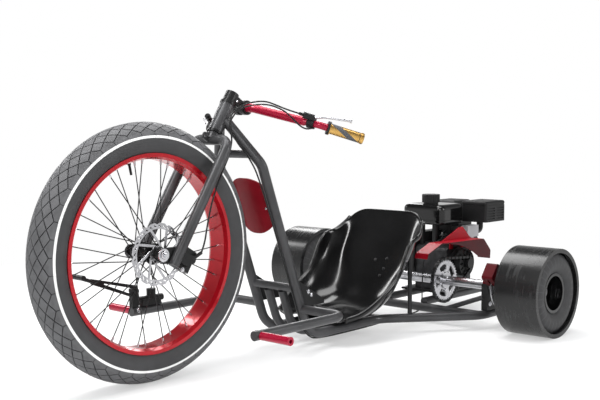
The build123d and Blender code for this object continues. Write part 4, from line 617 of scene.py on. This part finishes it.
def make_nipples():
    shape = bmesh.new()
    for side in (1, -1):
        for index in (0, 1):
            outward = 1 if index else -1
            rim_angle = radians(SPOKE_PITCH * (index + (0.5 if side < 0 else 0.0)))
            hub_angle = rim_angle + outward * radians(SPOKE_SWING)
            foot = FRONT_AXLE + Matrix.Rotation(-hub_angle, 3, "Y") @ Vector(
                (SPOKE_FOOT_RADIUS, side * (SPOKE_FOOT_Y + outward * SPOKE_OFFSET), 0)
            )
            tip = FRONT_AXLE + Matrix.Rotation(-rim_angle, 3, "Y") @ Vector(
                (SPOKE_TIP_RADIUS, side * SPOKE_TIP_Y, 0)
            )
            way = (foot - tip).normalized()
            made = bmesh.ops.create_cone(
                shape, cap_ends=True, segments=8, radius1=0.0036, radius2=0.0026, depth=NIPPLE_LENGTH,
                matrix=facing(tip + way * NIPPLE_LENGTH / 2, way),
            )
            faces = unique(face for vert in made["verts"] for face in vert.link_faces)
            edges = unique(edge for vert in made["verts"] for edge in vert.link_edges)
            bmesh.ops.spin(
                shape, geom=made["verts"] + edges + faces, axis=(0, 1, 0), cent=FRONT_AXLE,
                angle=radians(320), steps=8, use_duplicate=True, use_merge=False,
            )
    return finish_piece("spoke_nipples", shape, steel, "front_wheel")


make_nipples()


# Valve that stands out of the front rim towards the hub
# Its collar and its stem, each by start, length and two radii
VALVE_WAY = Vector((-0.21, 0, -0.977))
VALVE_FOOT_RADIUS = 0.2705
VALVE_STEPS = [(0.0, 0.012, 0.0062, 0.0046), (0.010, 0.030, 0.0038, 0.0036)]


def make_valve():
    shape = bmesh.new()
    foot = FRONT_AXLE - VALVE_WAY * VALVE_FOOT_RADIUS
    for start, length, wide, narrow in VALVE_STEPS:
        made = bmesh.ops.create_cone(
            shape, cap_ends=True, segments=14, radius1=wide, radius2=narrow, depth=length,
            matrix=facing(foot + VALVE_WAY * (start + length / 2), VALVE_WAY),
        )
        edges = unique(edge for vert in made["verts"] for edge in vert.link_edges)
        rims = [edge for edge in edges if len({len(face.verts) for face in edge.link_faces}) == 2]
        bmesh.ops.bevel(
            shape, geom=rims, offset=0.0006, segments=2, profile=0.5, affect="EDGES", material=-1,
            clamp_overlap=True,
        )
    return finish_piece("rim_valve", shape, moulded, "front_wheel")


make_valve()


# Throttle cable on one smooth line from the left perch to the carburettor
CABLE_RADIUS = 0.0025
THROTTLE_ROUTE = [
    (217.4, 232.6, 733.5), (239.4, 230.6, 727.5), (257.4, 218.6, 735.5), (265.4, 198.6, 755.5),
    (275.4, 170.6, 783.5), (305.5, 132, 804.8), (335.5, 94, 802.8), (355.0, 64, 794.2), (360.5, 50, 783.5),
    (366.9, 43, 773.3), (388.3, 42, 746.6), (365, 49, 689), (346, 77, 652), (309.5, 96, 575),
    (128.8, 97, 85.4), (97.9, 97, 52.7), (56.6, 97, 34.9), (-207, 97, 34.7), (-267, 92, 35), (-327, 84, 34.2),
    (-392, 75, 32.2), (-457, 68, 31.2), (-517, 63, 32.2), (-564, 60, 34), (-580.5, 60, 43.5),
    (-590, 60, 60.5), (-590, 60.5, 130), (-591, 62, 205), (-603, 64, 245), (-631, 67, 275), (-673, 73, 296),
    (-721, 81, 311), (-772, 91, 319), (-821.4, 99, 322),
]


def make_cable(name, route, radius):
    curve = bpy.data.curves.new(name + "_route", "CURVE")
    curve.dimensions = "3D"
    spline = curve.splines.new("NURBS")
    spline.points.add(len(route) - 1)
    for spot, place in zip(spline.points, route):
        spot.co = (*(Vector(place) / 1000), 1.0)
    spline.order_u = 3
    spline.use_endpoint_u = True
    spline.resolution_u = 8
    curve.bevel_depth = radius
    curve.bevel_resolution = 3
    curve.use_fill_caps = True
    holder = bpy.data.objects.new(name + "_route", curve)
    mesh = bpy.data.meshes.new_from_object(holder)
    bpy.data.objects.remove(holder)
    bpy.data.curves.remove(curve)
    mesh.materials.clear()
    mesh.materials.append(cable_skin)
    mesh.shade_smooth()
    thing = bpy.data.objects.new(name, mesh)
    bpy.context.scene.collection.objects.link(thing)
    return thing


throttle = make_cable("throttle_cable", THROTTLE_ROUTE, CABLE_RADIUS)
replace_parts(throttle, "bar_cable", "frame_cable")
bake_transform(throttle)


# Stage: pale floor that turns to the white backdrop far out, world and soft lamps
def make_floor():
    mesh = bpy.data.meshes.new("floor")
    shape = bmesh.new()
    bmesh.ops.create_grid(shape, x_segments=1, y_segments=1, size=14.0)
    shape.to_mesh(mesh)
    shape.free()
    floor = bpy.data.objects.new("floor", mesh)
    bpy.context.scene.collection.objects.link(floor)
    paint, tree, shader = start_material("pale_floor")
    shader.inputs["Base Color"].default_value = (0.88, 0.88, 0.88, 1)
    shader.inputs["Roughness"].default_value = 0.9
    shader.inputs["Specular IOR Level"].default_value = 0.1
    glow = add_node(tree, "ShaderNodeEmission")
    far = vector_math(tree, "LENGTH", object_coords(tree), output="Value")
    mix = add_node(tree, "ShaderNodeMixShader")
    path = add_node(tree, "ShaderNodeLightPath")
    seen = calc(tree, "MAXIMUM", path.outputs["Is Camera Ray"], path.outputs["Is Glossy Ray"])
    seen = calc(tree, "MAXIMUM", seen, path.outputs["Is Transmission Ray"])
    tree.links.new(calc(tree, "MULTIPLY", remap(tree, far, 1.3, 2.6, 0.45, 1.0), seen), mix.inputs["Fac"])
    tree.links.new(shader.outputs[0], mix.inputs[1])
    tree.links.new(glow.outputs[0], mix.inputs[2])
    tree.links.new(mix.outputs[0], tree.nodes["Material Output"].inputs["Surface"])
    mesh.materials.append(paint)


# The camera sees a white world, and gloss sees white walls under a dim ceiling
def make_world():
    world = bpy.data.worlds.new("studio")
    bpy.context.scene.world = world
    world.use_nodes = True
    tree = world.node_tree
    soft = tree.nodes["Background"]
    soft.inputs["Color"].default_value = (0.97, 0.985, 1.0, 1)
    soft.inputs["Strength"].default_value = 0.5
    white = add_node(tree, "ShaderNodeBackground")
    white.inputs["Color"].default_value = (1, 1, 1, 1)
    white.inputs["Strength"].default_value = 1.0
    walls = add_node(tree, "ShaderNodeBackground")
    heading = add_node(tree, "ShaderNodeTexCoord")
    parts = add_node(tree, "ShaderNodeSeparateXYZ")
    tree.links.new(heading.outputs["Generated"], parts.inputs[0])
    shade = remap(tree, parts.outputs["Z"], 0.10, 0.62, 1.0, 0.10)
    tree.links.new(shade, walls.inputs["Strength"])
    path = add_node(tree, "ShaderNodeLightPath")
    clear = add_node(tree, "ShaderNodeMixShader")
    seen = calc(tree, "MAXIMUM", path.outputs["Is Camera Ray"], path.outputs["Is Transmission Ray"])
    tree.links.new(seen, clear.inputs["Fac"])
    tree.links.new(soft.outputs[0], clear.inputs[1])
    tree.links.new(white.outputs[0], clear.inputs[2])
    mix = add_node(tree, "ShaderNodeMixShader")
    tree.links.new(path.outputs["Is Glossy Ray"], mix.inputs["Fac"])
    tree.links.new(clear.outputs[0], mix.inputs[1])
    tree.links.new(walls.outputs[0], mix.inputs[2])
    tree.links.new(mix.outputs[0], tree.nodes["World Output"].inputs["Surface"])


def lamp(name, place, aim, size, watts):
    data = bpy.data.lights.new(name, "AREA")
    data.shape = "RECTANGLE"
    data.size, data.size_y = size
    data.energy = watts
    thing = bpy.data.objects.new(name, data)
    thing.location = place
    thing.rotation_euler = (Vector(aim) - Vector(place)).to_track_quat("-Z", "Y").to_euler()
    bpy.context.scene.collection.objects.link(thing)


make_floor()
make_world()
lamp("overhead", (0.2, 0.3, 3.2), (0, 0, 0), (2.6, 1.0), 66)
lamp("rear_top", (-0.72, -0.80, 2.40), (-0.62, 0.2, 0.2), (1.4, 0.6), 24)
lamp("front_left", (3.0, 2.6, 2.0), (0.1, 0, 0.4), (0.7, 1.4), 42)
lamp("side_left", (-1.6, 3.2, 1.8), (-0.3, 0, 0.3), (0.5, 1.4), 38)
lamp("high_strip", (1.55, -0.10, 2.00), (-0.35, -0.1, 0.3), (0.26, 1.3), 24)
lamp("right_strip", (0.4, -3.2, 2.0), (-0.1, 0, 0.3), (0.4, 1.6), 34)
lamp("rear_right", (-2.6, -2.4, 2.2), (-0.2, 0, 0.3), (1.2, 1.0), 36)

# Camera at the photograph's viewing angle
YAW, PITCH = -2.440, -0.081
camera_data = bpy.data.cameras.new("camera")
camera = bpy.data.objects.new("camera", camera_data)
camera.location = (2.375289, 2.198694, 0.722968)
look = Vector((cos(PITCH) * cos(YAW), cos(PITCH) * sin(YAW), sin(PITCH)))
camera.rotation_euler = look.to_track_quat("-Z", "Y").to_euler()
camera_data.sensor_width = 36.0
camera_data.lens = 57.364
camera_data.shift_x = -0.0821
camera_data.shift_y = 0.0146
bpy.context.scene.collection.objects.link(camera)
bpy.context.scene.camera = camera
bpy.context.scene.view_settings.view_transform = "Standard"
